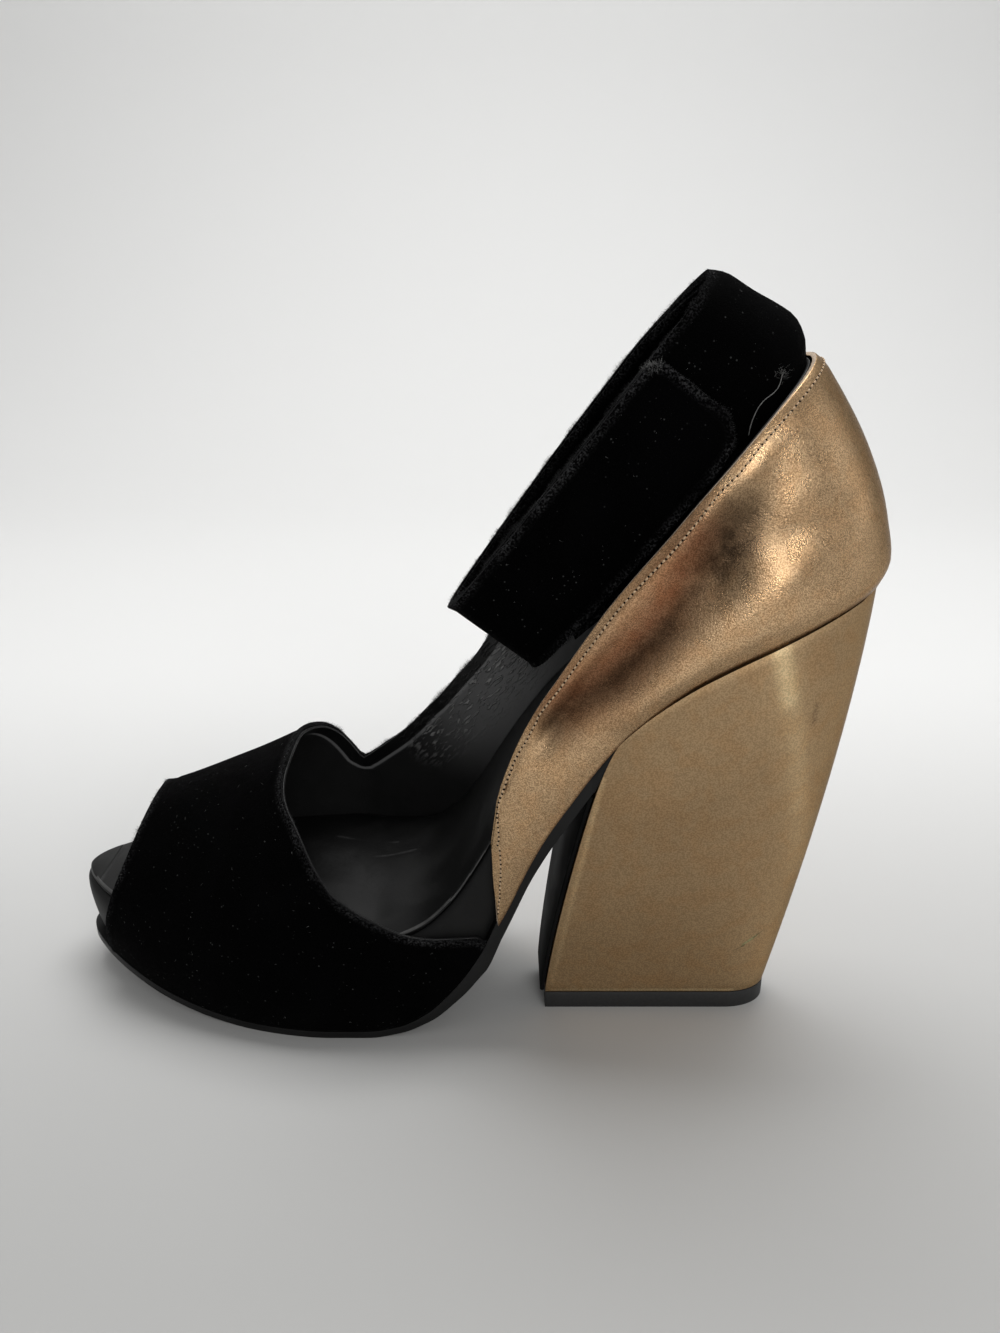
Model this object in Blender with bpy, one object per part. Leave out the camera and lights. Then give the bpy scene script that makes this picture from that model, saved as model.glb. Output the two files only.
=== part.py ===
"""Peep-toe platform shoe for a left foot, with a bronze counter, a block heel and a wide ankle strap.

Lengths are in millimetres and are scaled to metres when a mesh is made. The toe points to -X,
the outer side of the foot to -Y and +Z is up. One function, last(), gives the shape of the foot's
last, and the platform, insole, outsole, upper and counter are all cut from it.
"""

from collections import namedtuple

import bmesh
import bpy
import numpy as np

for item in list(bpy.data.objects):
    bpy.data.objects.remove(item, do_unlink=True)

# Driving sizes of the shoe
MM = 0.001
GAP = 0.3
UPPER_WALL = 1.8
COUNTER_WALL = 1.3
OUTSOLE = 2.0
WAIST_SOLE = 3.2
INSOLE = 1.6
TOP_PIECE = 5.0
BREAST_PANEL = 1.2
STRAP_WIDTH = 26.0
STRAP_WALL = 2.2

# Places along the shoe, before it is centred on its own box
TOE_X = -120.5
BALL_X = -46.0
NOTCH_X = -42.5
SEAT_X = 52.0
HEEL_X = 88.0
BREAST_X = 28.0
WAIST_SOLE_START = -30.0
WAIST_SOLE_FULL = 0.0
CENTRE_X = -14.0
CENTRE_Y = 14.5

# Roundness of the last
ARCH_FULLNESS = 2.4
OUTER_TOE = (1.6, 0.60)
INNER_TOE = (2.1, 0.56)
SEAT_FULLNESS = 2.2
ROLL_HEIGHT = 16.0
TUCK_TURN = 12.0
LEAN_START = -20.0

# The last, a row for each section: height of its lower edge, of the footbed and of the instep
# line, the outer and inner sides, where the instep line runs, and how far the lower edge is tucked in
Section = namedtuple("Section", "x base bed instep outer inner ridge tuck")
SECTIONS = [
    Section(-120.5, 13.0, 30.0, 44.0, -22.5, 53.0, 19.0, 4.0),
    Section(-105.0, 8.6, 28.6, 48.5, -22.5, 53.0, 19.0, 4.0),
    Section(-90.0, 5.0, 27.6, 53.0, -22.5, 53.0, 19.0, 4.0),
    Section(-75.0, 2.9, 27.0, 58.5, -22.5, 53.0, 20.0, 4.0),
    Section(-65.0, 2.3, 27.0, 62.5, -22.5, 53.0, 21.0, 4.0),
    Section(-46.0, 2.3, 27.4, 73.5, -22.5, 53.0, 21.0, 4.0),
    Section(-35.0, 2.3, 28.6, 87.0, -22.0, 49.0, 19.0, 3.5),
    Section(-27.0, 3.4, 31.0, 98.0, -21.0, 44.5, 17.5, 3.0),
    Section(-20.0, 6.8, 34.2, 108.0, -20.0, 40.0, 16.0, 2.5),
    Section(-12.0, 15.0, 42.0, 119.0, -19.2, 35.5, 13.0, 2.0),
    Section(-5.0, 26.0, 53.0, 127.0, -18.7, 31.5, 10.0, 1.5),
    Section(0.0, 38.0, 62.5, 132.0, -18.7, 29.0, 8.0, 1.5),
    Section(7.0, 54.0, 74.5, 140.0, -19.0, 26.5, 6.0, 1.5),
    Section(15.0, 68.2, 86.0, 150.0, -19.8, 24.5, 4.0, 1.5),
    Section(28.0, 87.4, 99.5, 165.0, -21.3, 22.8, 1.5, 1.5),
    Section(41.0, 99.0, 108.6, 178.0, -22.3, 22.5, 0.0, 1.5),
    Section(52.0, 105.8, 114.6, 187.0, -22.5, 22.5, 0.0, 1.5),
    Section(62.0, 110.8, 119.4, 193.0, -22.5, 22.5, 0.0, 1.5),
    Section(77.0, 117.6, 125.0, 200.0, -22.5, 22.5, 0.0, 1.5),
    Section(88.0, 122.0, 128.0, 203.0, -22.5, 22.5, 0.0, 1.5),
]

# How far the back of the heel stands behind its lower edge, by height above that edge
HeelCurve = namedtuple("HeelCurve", "rise setback")
HEEL_CURVE = [
    HeelCurve(0.0, 0.0),
    HeelCurve(8.0, 0.2),
    HeelCurve(16.0, 1.8),
    HeelCurve(30.0, 7.6),
    HeelCurve(52.0, 22.3),
    HeelCurve(60.0, 29.0),
]

# Edges of the vamp by share of the section's height: the peep toe and the throat on both sides
Edge = namedtuple("Edge", "share x")
PEEP = [Edge(0.0, -109.0), Edge(0.3, -108.0), Edge(0.55, -105.0), Edge(0.85, -99.0), Edge(1.0, -96.0)]
OUTER_THROAT = [
    Edge(0.0, -4.0),
    Edge(0.055, -5.6),
    Edge(0.35, -29.5),
    Edge(0.54, -42.2),
    Edge(0.78, -51.0),
    Edge(0.96, -57.0),
    Edge(1.0, -56.5),
]
INNER_THROAT = [Edge(0.60, NOTCH_X), Edge(0.90, -51.0), Edge(1.0, -56.5)]
NOTCH_SHARE = 0.62

# Heights of the toplines above the lower edge
Topline = namedtuple("Topline", "x outer inner")
UPPER_TOP = [
    Topline(-42.5, 20.0, 46.0),
    Topline(-30.0, 20.0, 57.2),
    Topline(-20.0, 20.0, 65.5),
    Topline(-12.0, 20.0, 67.6),
    Topline(-5.0, 20.0, 65.0),
    Topline(-1.5, 25.2, 61.6),
    Topline(0.0, 31.2, 60.0),
    Topline(2.0, 33.0, 58.2),
    Topline(6.0, 33.6, 54.6),
    Topline(10.0, 33.4, 51.0),
    Topline(16.0, 32.5, 46.2),
    Topline(24.0, 31.9, 40.8),
    Topline(28.0, 32.2, 38.5),
    Topline(41.0, 34.6, 36.0),
    Topline(52.0, 38.0, 38.2),
    Topline(70.0, 43.7, 43.7),
    Topline(82.0, 47.3, 47.3),
    Topline(88.0, 49.2, 49.2),
]
COUNTER_TOP = [
    Topline(-1.5, 25.5, 25.5),
    Topline(0.0, 31.5, 31.0),
    Topline(2.0, 33.3, 32.6),
    Topline(6.0, 33.9, 33.0),
    Topline(10.0, 33.7, 33.0),
    Topline(16.0, 32.8, 32.6),
    Topline(24.0, 32.2, 32.2),
    Topline(28.0, 32.5, 32.5),
    Topline(41.0, 34.9, 35.0),
    Topline(52.0, 38.3, 38.4),
    Topline(70.0, 44.0, 44.0),
    Topline(82.0, 47.6, 47.6),
    Topline(88.0, 49.5, 49.5),
]
LINING_FRONT_X = -0.5
COUNTER_FRONT_X = -1.5

# The heel block: its sole on the floor and how its edges run up to the seat
HEEL_FOOT_FRONT = 12.5
HEEL_FOOT_BACK = 74.2
HEEL_FOOT_HALF = 8.6
HEEL_FOOT_ROUND = 12.0
HEEL_FRONT_CURVE = 1.3
HEEL_CORNER = 2.0
HEEL_CORNER_TURN = 12.0
HEEL_BACK_CURVE = 1.55
SEAT_SPREAD = 2.8
OUTSOLE_SPREAD = 2.4
SOLE_SLANT = 4.8
SOLE_END = 0.6
BREAST_TOP = 0.81
INSOLE_INSET = 0.8

# The strap's loop, lying in a plane that falls towards the toe: distance along it from the back
# fold and distance to the side, from the inner end round the ankle to the end of the flap
STRAP_BACK = np.array([65.25, 0.0, 174.4])
STRAP_FALL = np.array([-0.6, 0.0, -0.8])
STRAP_RISE = np.array([-0.8, 0.0, 0.6])
STRAP_DROP = np.array([0.42, 0.0, -0.91])
Loop = namedtuple("Loop", "along side drop")
STRAP_LOOP = [
    Loop(80.0, -5.5, 3.0),
    Loop(65.0, -9.8, 4.5),
    Loop(45.0, -13.2, 5.3),
    Loop(25.0, -13.6, 5.3),
    Loop(9.0, -10.6, 5.3),
    Loop(0.6, 0.0, 5.3),
    Loop(9.0, 11.2, 5.3),
    Loop(25.0, 15.0, 5.0),
    Loop(45.0, 15.0, 3.0),
    Loop(65.0, 12.0, 1.5),
    Loop(82.0, 7.5, 0.3),
    Loop(91.5, 3.6, 0.3),
    Loop(94.0, 0.0, 0.3),
    Loop(91.5, -5.2, 0.3),
    Loop(82.0, -8.8, 0.3),
    Loop(65.0, -12.8, 0.3),
    Loop(45.0, -16.1, 0.3),
    Loop(20.4, -16.4, 0.3),
]

# How far the band bulges out at the back fold, by share of its width, how much lower its upper edge
# is there, and the flap's round corners
Bulge = namedtuple("Bulge", "share out")
STRAP_BULGE = [
    Bulge(0.0, 2.6),
    Bulge(0.1, 3.9),
    Bulge(0.2, 4.5),
    Bulge(0.35, 4.1),
    Bulge(0.6, 3.0),
    Bulge(0.9, 2.1),
    Bulge(1.0, 0.2),
]
BULGE_REACH = 22.0
STRAP_CROWN = 1.3
FLAP_LOW_CORNER = 8.0
FLAP_TOP_CORNER = 4.0

# Number and closeness of the steps in the meshes
WELD = 1e-6
SHARP_ANGLE = 0.7
SHORTEST_STEP = 0.9
SLOPE_STEP = 0.5
TOE_CROWDING = 1.8
SEAT_CROWDING = 2.0
TOE_STEPS = 11
WAIST_STEPS = 28
SEAT_STEPS = 9
VAMP_STEPS = 15
OUTER_SHARES = (0.0, 0.05, 0.115, 0.2, 0.3, 0.42, 0.55, 0.68, 0.8, 0.9, 0.96, 0.99, 1.0)
THROAT_SHARES = (0.99, 0.96, 0.9, 0.8, 0.7)
INNER_SHARES = (NOTCH_SHARE, 0.53, 0.42, 0.3, 0.2, 0.115, 0.05, 0.0)
COUNTER_ROWS = 7
SIDE_LEVELS = (0.0, 0.12, 0.28, 0.5, 0.75, 0.93, 1.0)
EDGE_ROUND = (0.0, 0.0, 0.0, 0.0, 0.0, 0.25, 1.4)
FOOT_REACH = 0.5
SIDE_RUN = 0.7
HEEL_LEVELS = (0.0, 0.12, 0.24, 0.36, 0.48, 0.6, 0.71, 0.81, 0.88, 0.93, 0.97, 1.0)
HEEL_SIDE_STEPS = 5
HEEL_ROUND_STEPS = 8
STRAP_STEPS = 72
STRAP_DENSE = 20
STRAP_LEVELS = (0.0, 0.03, 0.08, 0.18, 0.3, 0.5, 0.82, 0.92, 0.97, 1.0)


def smooth(rows, key, value):
    """A smooth curve, with no overshoot, through one column of a table against another."""
    xs = np.array([getattr(row, key) for row in rows], float)
    ys = np.array([getattr(row, value) for row in rows], float)
    slope = np.diff(ys) / np.diff(xs)
    product = slope[:-1] * slope[1:]
    total = np.where(product > 0, slope[:-1] + slope[1:], 1.0)
    inner = np.where(product > 0, 2 * product / total, 0.0)
    tangent = np.concatenate([slope[:1], inner, slope[-1:]])

    def curve(x):
        x = np.clip(x, xs[0], xs[-1])
        i = np.clip(np.searchsorted(xs, x) - 1, 0, len(xs) - 2)
        span = xs[i + 1] - xs[i]
        t = (x - xs[i]) / span
        start = t * (1 - t) ** 2 * span * tangent[i]
        end = t * t * (t - 1) * span * tangent[i + 1]
        return ys[i] + (ys[i + 1] - ys[i]) * ease(t) + start + end

    return curve


def ease(t):
    t = np.clip(t, 0.0, 1.0)
    return t * t * (3 - 2 * t)


base_of = smooth(SECTIONS, "x", "base")
bed_of = smooth(SECTIONS, "x", "bed")
instep_of = smooth(SECTIONS, "x", "instep")
outer_of = smooth(SECTIONS, "x", "outer")
inner_of = smooth(SECTIONS, "x", "inner")
ridge_of = smooth(SECTIONS, "x", "ridge")
tuck_of = smooth(SECTIONS, "x", "tuck")
setback_of = smooth(HEEL_CURVE, "rise", "setback")
peep_of = smooth(PEEP, "share", "x")
outer_throat_of = smooth(OUTER_THROAT, "share", "x")
inner_throat_of = smooth(INNER_THROAT, "share", "x")
bulge_of = smooth(STRAP_BULGE, "share", "out")


def widest(x, side):
    """Sideways place of the last's widest line; side is -1 on the outer and +1 on the inner side."""
    straight = outer_of(x) if side < 0 else inner_of(x)
    power, root = OUTER_TOE if side < 0 else INNER_TOE
    toe = np.clip((BALL_X - x) / (BALL_X - TOE_X), 0.0, 1.0)
    seat = np.clip((x - SEAT_X) / (HEEL_X - SEAT_X), 0.0, 1.0)
    toe_share = np.clip(1 - toe**power, 0.0, 1.0) ** root
    seat_share = np.clip(1 - seat**SEAT_FULLNESS, 0.0, 1.0) ** (1 / SEAT_FULLNESS)
    centre = ridge_of(x)
    return centre + (straight - centre) * toe_share * seat_share


def last(x, rise, side):
    """A point of the last at section x, a height above its lower edge, on one side."""
    x, rise = np.broadcast_arrays(np.asarray(x, float), np.asarray(rise, float))
    base = base_of(x)
    centre = ridge_of(x)
    room = np.abs(widest(x, side) - centre)
    share = np.clip(rise / (instep_of(x) - base), 0.0, 1.0)
    arch = np.clip(1 - share**ARCH_FULLNESS, 0.0, 1.0) ** (1 / ARCH_FULLNESS)
    tuck = tuck_of(x) * (1 - np.clip(rise / ROLL_HEIGHT, 0.0, 1.0)) ** 2
    sideways = np.clip(room / TUCK_TURN, 0.0, 1.0)
    inward = np.where(x < 0, 1.0, -1.0)
    lean = setback_of(rise) * ease((x - LEAN_START) / (HEEL_X - LEAN_START))
    px = x + inward * tuck * (1 - sideways) - lean
    py = centre + side * (room * arch - tuck * sideways)
    return np.stack([px, py, base + rise], axis=-1)


def clustered(start, end, count, crowding):
    """Steps from start to end that grow closer towards the end."""
    t = np.linspace(0.0, 1.0, count + 1)
    return start + (end - start) * (1 - (1 - t) ** crowding)


TOE_XS = clustered(BALL_X, TOE_X, TOE_STEPS, TOE_CROWDING)[::-1]
WAIST_XS = np.linspace(BALL_X, SEAT_X, WAIST_STEPS + 1)
SEAT_XS = clustered(SEAT_X, HEEL_X, SEAT_STEPS, SEAT_CROWDING)
ALL_XS = np.concatenate([TOE_XS, WAIST_XS[1:], SEAT_XS[1:]])


def spread(path, amount):
    """A plan path moved to its right-hand side; where its two ends meet it is taken as a loop.

    Along the sides of the shoe a point keeps its section x, so that neighbours share their sections.
    """
    plan = path[:, :2]
    closed = np.linalg.norm(plan[0] - plan[-1]) < WELD
    if closed:
        before = np.concatenate([plan[-2:-1], plan[:-1]])
        after = np.concatenate([plan[1:], plan[1:2]])
    else:
        before = np.concatenate([plan[:1], plan[:-1]])
        after = np.concatenate([plan[1:], plan[-1:]])
    run = after - before
    run /= np.linalg.norm(run, axis=1, keepdims=True)
    moved = path.copy()
    along_side = np.abs(run[:, 0]) > SIDE_RUN
    safe_run = np.where(along_side, run[:, 0], 1.0)
    moved[:, 0] += np.where(along_side, 0.0, run[:, 1] * amount)
    moved[:, 1] -= np.where(along_side, amount / safe_run, run[:, 0] * amount)
    return moved


def paint(name, colour, roughness, metallic):
    material = bpy.data.materials.new(name)
    material.use_nodes = True
    shader = material.node_tree.nodes["Principled BSDF"]
    shader.inputs["Base Color"].default_value = (*colour, 1.0)
    shader.inputs["Roughness"].default_value = roughness
    shader.inputs["Metallic"].default_value = metallic
    return material


VELVET = paint("velvet", (0.006, 0.006, 0.007), 0.95, 0.0)
BLACK_LEATHER = paint("black_leather", (0.014, 0.013, 0.013), 0.5, 0.0)
BRONZE = paint("bronze_leather", (0.26, 0.17, 0.085), 0.36, 0.75)
RUBBER = paint("black_rubber", (0.012, 0.012, 0.012), 0.6, 0.0)
STRAP_VELVET = paint("strap_velvet", (0.006, 0.006, 0.007), 0.95, 0.0)
SOCK = paint("sock_leather", (0.02, 0.019, 0.018), 0.45, 0.0)
SOLE_LEATHER = paint("sole_leather", (0.012, 0.011, 0.011), 0.5, 0.0)
HEEL_BRONZE = paint("heel_bronze", (0.22, 0.15, 0.075), 0.34, 0.75)
BREAST_BLACK = paint("breast_leather", (0.01, 0.01, 0.01), 0.4, 0.0)


def grid_faces(bm, grid):
    """Quads over a grid of points; grid is indexed by row and column."""
    rows = []
    for line in grid:
        rows.append([bm.verts.new(point * MM) for point in line])
    for low, high in zip(rows, rows[1:]):
        for a, b, c, d in zip(low, low[1:], high[1:], high):
            bm.faces.new((a, b, c, d))


def place(name, bm, material):
    """Centre the mesh on the shoe's box and add it to the scene as one object."""
    bmesh.ops.translate(bm, verts=bm.verts, vec=(-CENTRE_X * MM, -CENTRE_Y * MM, 0.0))
    mesh = bpy.data.meshes.new(name)
    bm.to_mesh(mesh)
    bm.free()
    mesh.shade_smooth()
    mesh.set_sharp_from_angle(angle=SHARP_ANGLE)
    mesh.materials.append(material)
    made = bpy.data.objects.new(name, mesh)
    bpy.context.scene.collection.objects.link(made)
    return made


def block(name, outer, inner, material):
    """A closed body between its outer and inner side grids, indexed by level and station."""
    bm = bmesh.new()
    grid_faces(bm, outer)
    grid_faces(bm, inner)
    grid_faces(bm, np.stack([outer[0], inner[0]]))
    grid_faces(bm, np.stack([outer[-1], inner[-1]]))
    grid_faces(bm, np.stack([outer[:, 0], inner[:, 0]]))
    grid_faces(bm, np.stack([outer[:, -1], inner[:, -1]]))
    bmesh.ops.remove_doubles(bm, verts=bm.verts, dist=WELD)
    bmesh.ops.dissolve_degenerate(bm, edges=bm.edges, dist=WELD)
    bmesh.ops.recalc_face_normals(bm, faces=bm.faces)
    if bm.calc_volume(signed=True) < 0:
        bmesh.ops.reverse_faces(bm, faces=bm.faces)
    return place(name, bm, material)


def sheet(name, grids, start, wall, material, level_foot=True):
    """A bent sheet with a real wall: grids of the last's surface, moved out by start and thickened.

    With level_foot the lowest edge keeps its height, so that it stands flat on what is under it.
    """
    bm = bmesh.new()
    for grid in grids:
        grid_faces(bm, grid)
    bmesh.ops.remove_doubles(bm, verts=bm.verts, dist=WELD)
    bm.normal_update()
    outward = bm.verts.layers.float_vector.new("outward")
    standing = bm.verts.layers.int.new("standing")
    for vert in bm.verts:
        way = vert.normal.copy()
        lift = vert.co.z / MM - float(base_of(vert.co.x / MM))
        if level_foot and vert.is_boundary and lift < FOOT_REACH:
            vert[standing] = 1
            way.z = 0.0
        vert[outward] = way.normalized()
        vert.co += vert[outward] * start * MM
    made = bmesh.ops.extrude_face_region(bm, geom=bm.faces[:], use_keep_orig=True)
    for part in made["geom"]:
        if isinstance(part, bmesh.types.BMVert):
            part.co += part[outward] * wall * MM
    for vert in bm.verts:
        if vert[standing]:
            vert.co.z = float(base_of(vert.co.x / MM)) * MM
    bmesh.ops.recalc_face_normals(bm, faces=bm.faces)
    if bm.calc_volume(signed=True) < 0:
        bmesh.ops.reverse_faces(bm, faces=bm.faces)
    return place(name, bm, material)


def two_sides(xs, rise):
    """The last's outer and inner sides at one height above the lower edge, station by station."""
    return last(xs, rise, -1), last(xs, rise, 1)


def spread_sides(outer, inner, amount):
    """Both sides moved outwards in plan by one amount, as one path round the toe."""
    path = np.concatenate([inner[::-1], outer[1:]])
    moved = spread(path, amount)
    count = len(inner)
    return moved[count - 1:], moved[:count][::-1]


def underside(x):
    """Height of the outsole's lower face; the sole is thicker under the waist."""
    slope = (base_of(x + SLOPE_STEP) - base_of(x - SLOPE_STEP)) / (2 * SLOPE_STEP)
    waist = ease((x - WAIST_SOLE_START) / (WAIST_SOLE_FULL - WAIST_SOLE_START))
    thick = OUTSOLE + (WAIST_SOLE - OUTSOLE) * waist
    return base_of(x) - GAP - thick * np.sqrt(1 + slope**2)


def make_outsole():
    xs = ALL_XS[ALL_XS < BREAST_X - SOLE_SLANT]
    xs = np.append(xs, BREAST_X - SOLE_END)
    sides = []
    for edge in spread_sides(*two_sides(xs, 0.0), OUTSOLE_SPREAD):
        top = edge.copy()
        top[:, 2] = base_of(edge[:, 0]) - GAP
        bottom = edge.copy()
        bottom[-1, 0] -= SOLE_SLANT
        bottom[:, 2] = underside(bottom[:, 0])
        sides.append(np.stack([bottom, top]))
    return block("outsole", sides[0], sides[1], SOLE_LEATHER)


def make_platform():
    top = bed_of(ALL_XS) - INSOLE - GAP - base_of(ALL_XS)
    outer, inner = [], []
    for level, rounding in zip(SIDE_LEVELS, EDGE_ROUND):
        sides = spread_sides(*two_sides(ALL_XS, top * level), -rounding)
        outer.append(sides[0])
        inner.append(sides[1])
    return block("platform", np.array(outer), np.array(inner), BLACK_LEATHER)


def make_insole():
    low = bed_of(ALL_XS) - INSOLE - base_of(ALL_XS)
    outer, inner = [], []
    for lift in (0.0, INSOLE):
        sides = spread_sides(*two_sides(ALL_XS, low + lift), -INSOLE_INSET - GAP)
        outer.append(sides[0])
        inner.append(sides[1])
    return block("insole", np.array(outer), np.array(inner), SOCK)


def vamp_row(share, side, end):
    xs = np.linspace(float(peep_of(share)), float(end), VAMP_STEPS + 1)
    return last(xs, share * (instep_of(xs) - base_of(xs)), side)


def make_upper():
    rows = [vamp_row(share, -1, outer_throat_of(share)) for share in OUTER_SHARES]
    rows += [vamp_row(share, 1, inner_throat_of(share)) for share in THROAT_SHARES]
    rows += [vamp_row(share, 1, NOTCH_X) for share in INNER_SHARES]
    vamp = np.array(rows)

    inner_xs = np.concatenate([[NOTCH_X], ALL_XS[ALL_XS > NOTCH_X + SHORTEST_STEP]])
    outer_xs = np.append(ALL_XS[ALL_XS > LINING_FRONT_X + SHORTEST_STEP][::-1], LINING_FRONT_X)[1:]
    inner_top = smooth(UPPER_TOP, "x", "inner")(inner_xs)
    outer_top = smooth(UPPER_TOP, "x", "outer")(outer_xs)
    inner_top[0] = NOTCH_SHARE * (instep_of(NOTCH_X) - base_of(NOTCH_X))
    quarter = []
    for share in INNER_SHARES:
        level = share / NOTCH_SHARE
        inside = last(inner_xs, inner_top * level, 1)
        outside = last(outer_xs, outer_top * level, -1)
        quarter.append(np.concatenate([inside, outside]))
    return sheet("upper", [vamp, np.array(quarter)], GAP, UPPER_WALL, VELVET)


def make_counter():
    back = ALL_XS[ALL_XS > COUNTER_FRONT_X + SHORTEST_STEP]
    inner_xs = np.append(COUNTER_FRONT_X, back)
    outer_xs = inner_xs[::-1][1:]
    inner_top = smooth(COUNTER_TOP, "x", "inner")(inner_xs)
    outer_top = smooth(COUNTER_TOP, "x", "outer")(outer_xs)
    rows = []
    for level in np.linspace(1.0, 0.0, COUNTER_ROWS + 1):
        inside = last(inner_xs, inner_top * level, 1)
        outside = last(outer_xs, outer_top * level, -1)
        rows.append(np.concatenate([inside, outside]))
    return sheet("counter", [np.array(rows)], GAP + UPPER_WALL + GAP, COUNTER_WALL, BRONZE)


def heel_plan():
    """Stations of the heel from front to back: share of its length and share of its round end."""
    flat = np.zeros(HEEL_SIDE_STEPS)
    turn = np.linspace(0.0, np.pi / 2, HEEL_ROUND_STEPS + 1)
    along = np.concatenate([np.linspace(0.0, 1.0, HEEL_SIDE_STEPS, endpoint=False), np.ones_like(turn)])
    return along, np.concatenate([flat, turn])


def heel_foot():
    """The heel's outline on the floor, outer side, from its front corner to the middle of its back."""
    along, turn = heel_plan()
    straight = HEEL_FOOT_BACK - HEEL_FOOT_ROUND - HEEL_FOOT_FRONT
    x = HEEL_FOOT_FRONT + straight * along + HEEL_FOOT_ROUND * np.sin(turn)
    return x, HEEL_FOOT_HALF * np.cos(turn)


def heel_seat(side):
    """The heel's outline under the seat, from its front corner to the middle of its back."""
    along, turn = heel_plan()
    x = BREAST_X + (SEAT_X - BREAST_X) * along + (HEEL_X - SEAT_X) * np.sin(turn)
    path = np.concatenate([last(x, 0.0, -1), last(x, 0.0, 1)[::-1][1:]])
    moved = spread(path, SEAT_SPREAD)
    half = moved[:len(x)] if side < 0 else moved[len(x) - 1:][::-1]
    return half, base_of(half[:, 0]) - GAP


def heel_side(side, levels):
    foot_x, foot_half = heel_foot()
    seat, seat_z = heel_seat(side)
    share = (foot_x - HEEL_FOOT_FRONT) / (HEEL_FOOT_BACK - HEEL_FOOT_FRONT)
    corner = HEEL_CORNER / (BREAST_X - HEEL_FOOT_FRONT)
    rows = []
    for t in levels:
        front = (1 - corner) * t**HEEL_FRONT_CURVE + corner * t**HEEL_CORNER_TURN
        forward = front * (1 - share) + (1 - (1 - t) ** HEEL_BACK_CURVE) * share
        x = foot_x + (seat[:, 0] - foot_x) * forward
        y = side * foot_half + (seat[:, 1] - side * foot_half) * t
        z = TOP_PIECE + GAP + (seat_z - TOP_PIECE - GAP) * t
        rows.append(np.stack([x, y, z], axis=1))
    return np.array(rows)


def make_heel():
    return block("heel", heel_side(-1, HEEL_LEVELS), heel_side(1, HEEL_LEVELS), HEEL_BRONZE)


def make_top_piece():
    x, half = heel_foot()
    sides = []
    for side in (-1, 1):
        rows = [np.stack([x, side * half, np.full_like(x, z)], axis=1) for z in (0.0, TOP_PIECE)]
        sides.append(np.array(rows))
    return block("top_piece", sides[0], sides[1], RUBBER)


def make_breast():
    levels = BREAST_TOP * np.array(HEEL_LEVELS)
    sides = []
    for side in (-1, 1):
        edge = heel_side(side, levels)[:, 0]
        edge[:, 1] -= side * GAP
        face = edge.copy()
        face[:, 0] -= GAP
        front = face.copy()
        front[:, 0] -= BREAST_PANEL
        sides.append(np.stack([front, face], axis=1))
    return block("heel_breast", sides[0], sides[1], BREAST_BLACK)


def strap_path():
    """The strap's loop as a dense smooth curve: the distance run, and its table's columns there."""
    knot = namedtuple("Knot", "place along side drop")
    knots = [knot(i, *row) for i, row in enumerate(STRAP_LOOP)]
    place_on = np.linspace(0, len(knots) - 1, STRAP_DENSE * len(knots))
    columns = [smooth(knots, "place", name)(place_on) for name in ("along", "side", "drop")]
    steps = np.hypot(np.diff(columns[0]), np.diff(columns[1]))
    return np.concatenate([[0.0], np.cumsum(steps)]), columns


def flap_cut(share):
    """How much the flap's round corners take off its end, at a share of its width."""
    corner = FLAP_LOW_CORNER if share < 0.5 else FLAP_TOP_CORNER
    inside = max(corner - STRAP_WIDTH * min(share, 1 - share), 0.0)
    return corner - np.sqrt(corner**2 - inside**2)


def strap_row(share, bent):
    """Points along the band at a share of its width, or along its bent lower edge."""
    run, columns = strap_path()
    even = np.linspace(0.0, run[-1] - flap_cut(share), STRAP_STEPS + 1)
    along, side, drop = (np.interp(even, run, column) for column in columns)
    if bent:
        away = drop[:, None] * STRAP_DROP
    else:
        fold = ease(1 - along / BULGE_REACH)
        away = share * (STRAP_WIDTH - STRAP_CROWN * fold)[:, None] * STRAP_RISE
        along = along - bulge_of(share) * fold
    row = STRAP_BACK + along[:, None] * STRAP_FALL + away
    row[:, 1] = side
    return row


def make_strap():
    rows = [strap_row(0.0, True)] + [strap_row(share, False) for share in STRAP_LEVELS]
    return sheet("ankle_strap", [np.array(rows)], -STRAP_WALL / 2, STRAP_WALL, STRAP_VELVET, False)


make_outsole()
make_platform()
make_insole()
make_upper()
make_counter()
make_heel()
make_breast()
make_top_piece()
make_strap()
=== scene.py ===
"""Looks of the left peep-toe platform shoe: velvet upper and strap, bronze counter and heel, black sole.

Lengths are in millimetres and are scaled to metres when a mesh is made. The toe points to -X,
the outer side of the foot to -Y and +Z is up. last() is the shape of the foot's last, and the
fine surfaces here are cut from it, where the solids of the frame lie.
"""

import math
from collections import namedtuple

import bmesh
import bpy
import numpy as np
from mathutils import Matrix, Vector
from mathutils.bvhtree import BVHTree
from mathutils.kdtree import KDTree


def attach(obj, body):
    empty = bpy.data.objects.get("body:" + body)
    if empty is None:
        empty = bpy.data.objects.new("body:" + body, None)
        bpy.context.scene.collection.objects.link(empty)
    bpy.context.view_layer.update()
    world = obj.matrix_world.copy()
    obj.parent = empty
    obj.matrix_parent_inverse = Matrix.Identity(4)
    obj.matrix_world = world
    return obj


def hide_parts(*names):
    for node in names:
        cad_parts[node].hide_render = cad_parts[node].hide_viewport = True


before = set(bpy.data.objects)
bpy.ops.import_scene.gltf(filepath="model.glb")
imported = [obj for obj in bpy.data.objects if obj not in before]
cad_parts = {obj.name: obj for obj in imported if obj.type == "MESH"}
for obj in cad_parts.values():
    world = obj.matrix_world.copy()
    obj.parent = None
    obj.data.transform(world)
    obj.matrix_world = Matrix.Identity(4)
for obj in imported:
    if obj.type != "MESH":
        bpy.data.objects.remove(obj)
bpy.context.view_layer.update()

# Driving sizes of the shoe
MM = 0.001
GAP = 0.3
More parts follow.
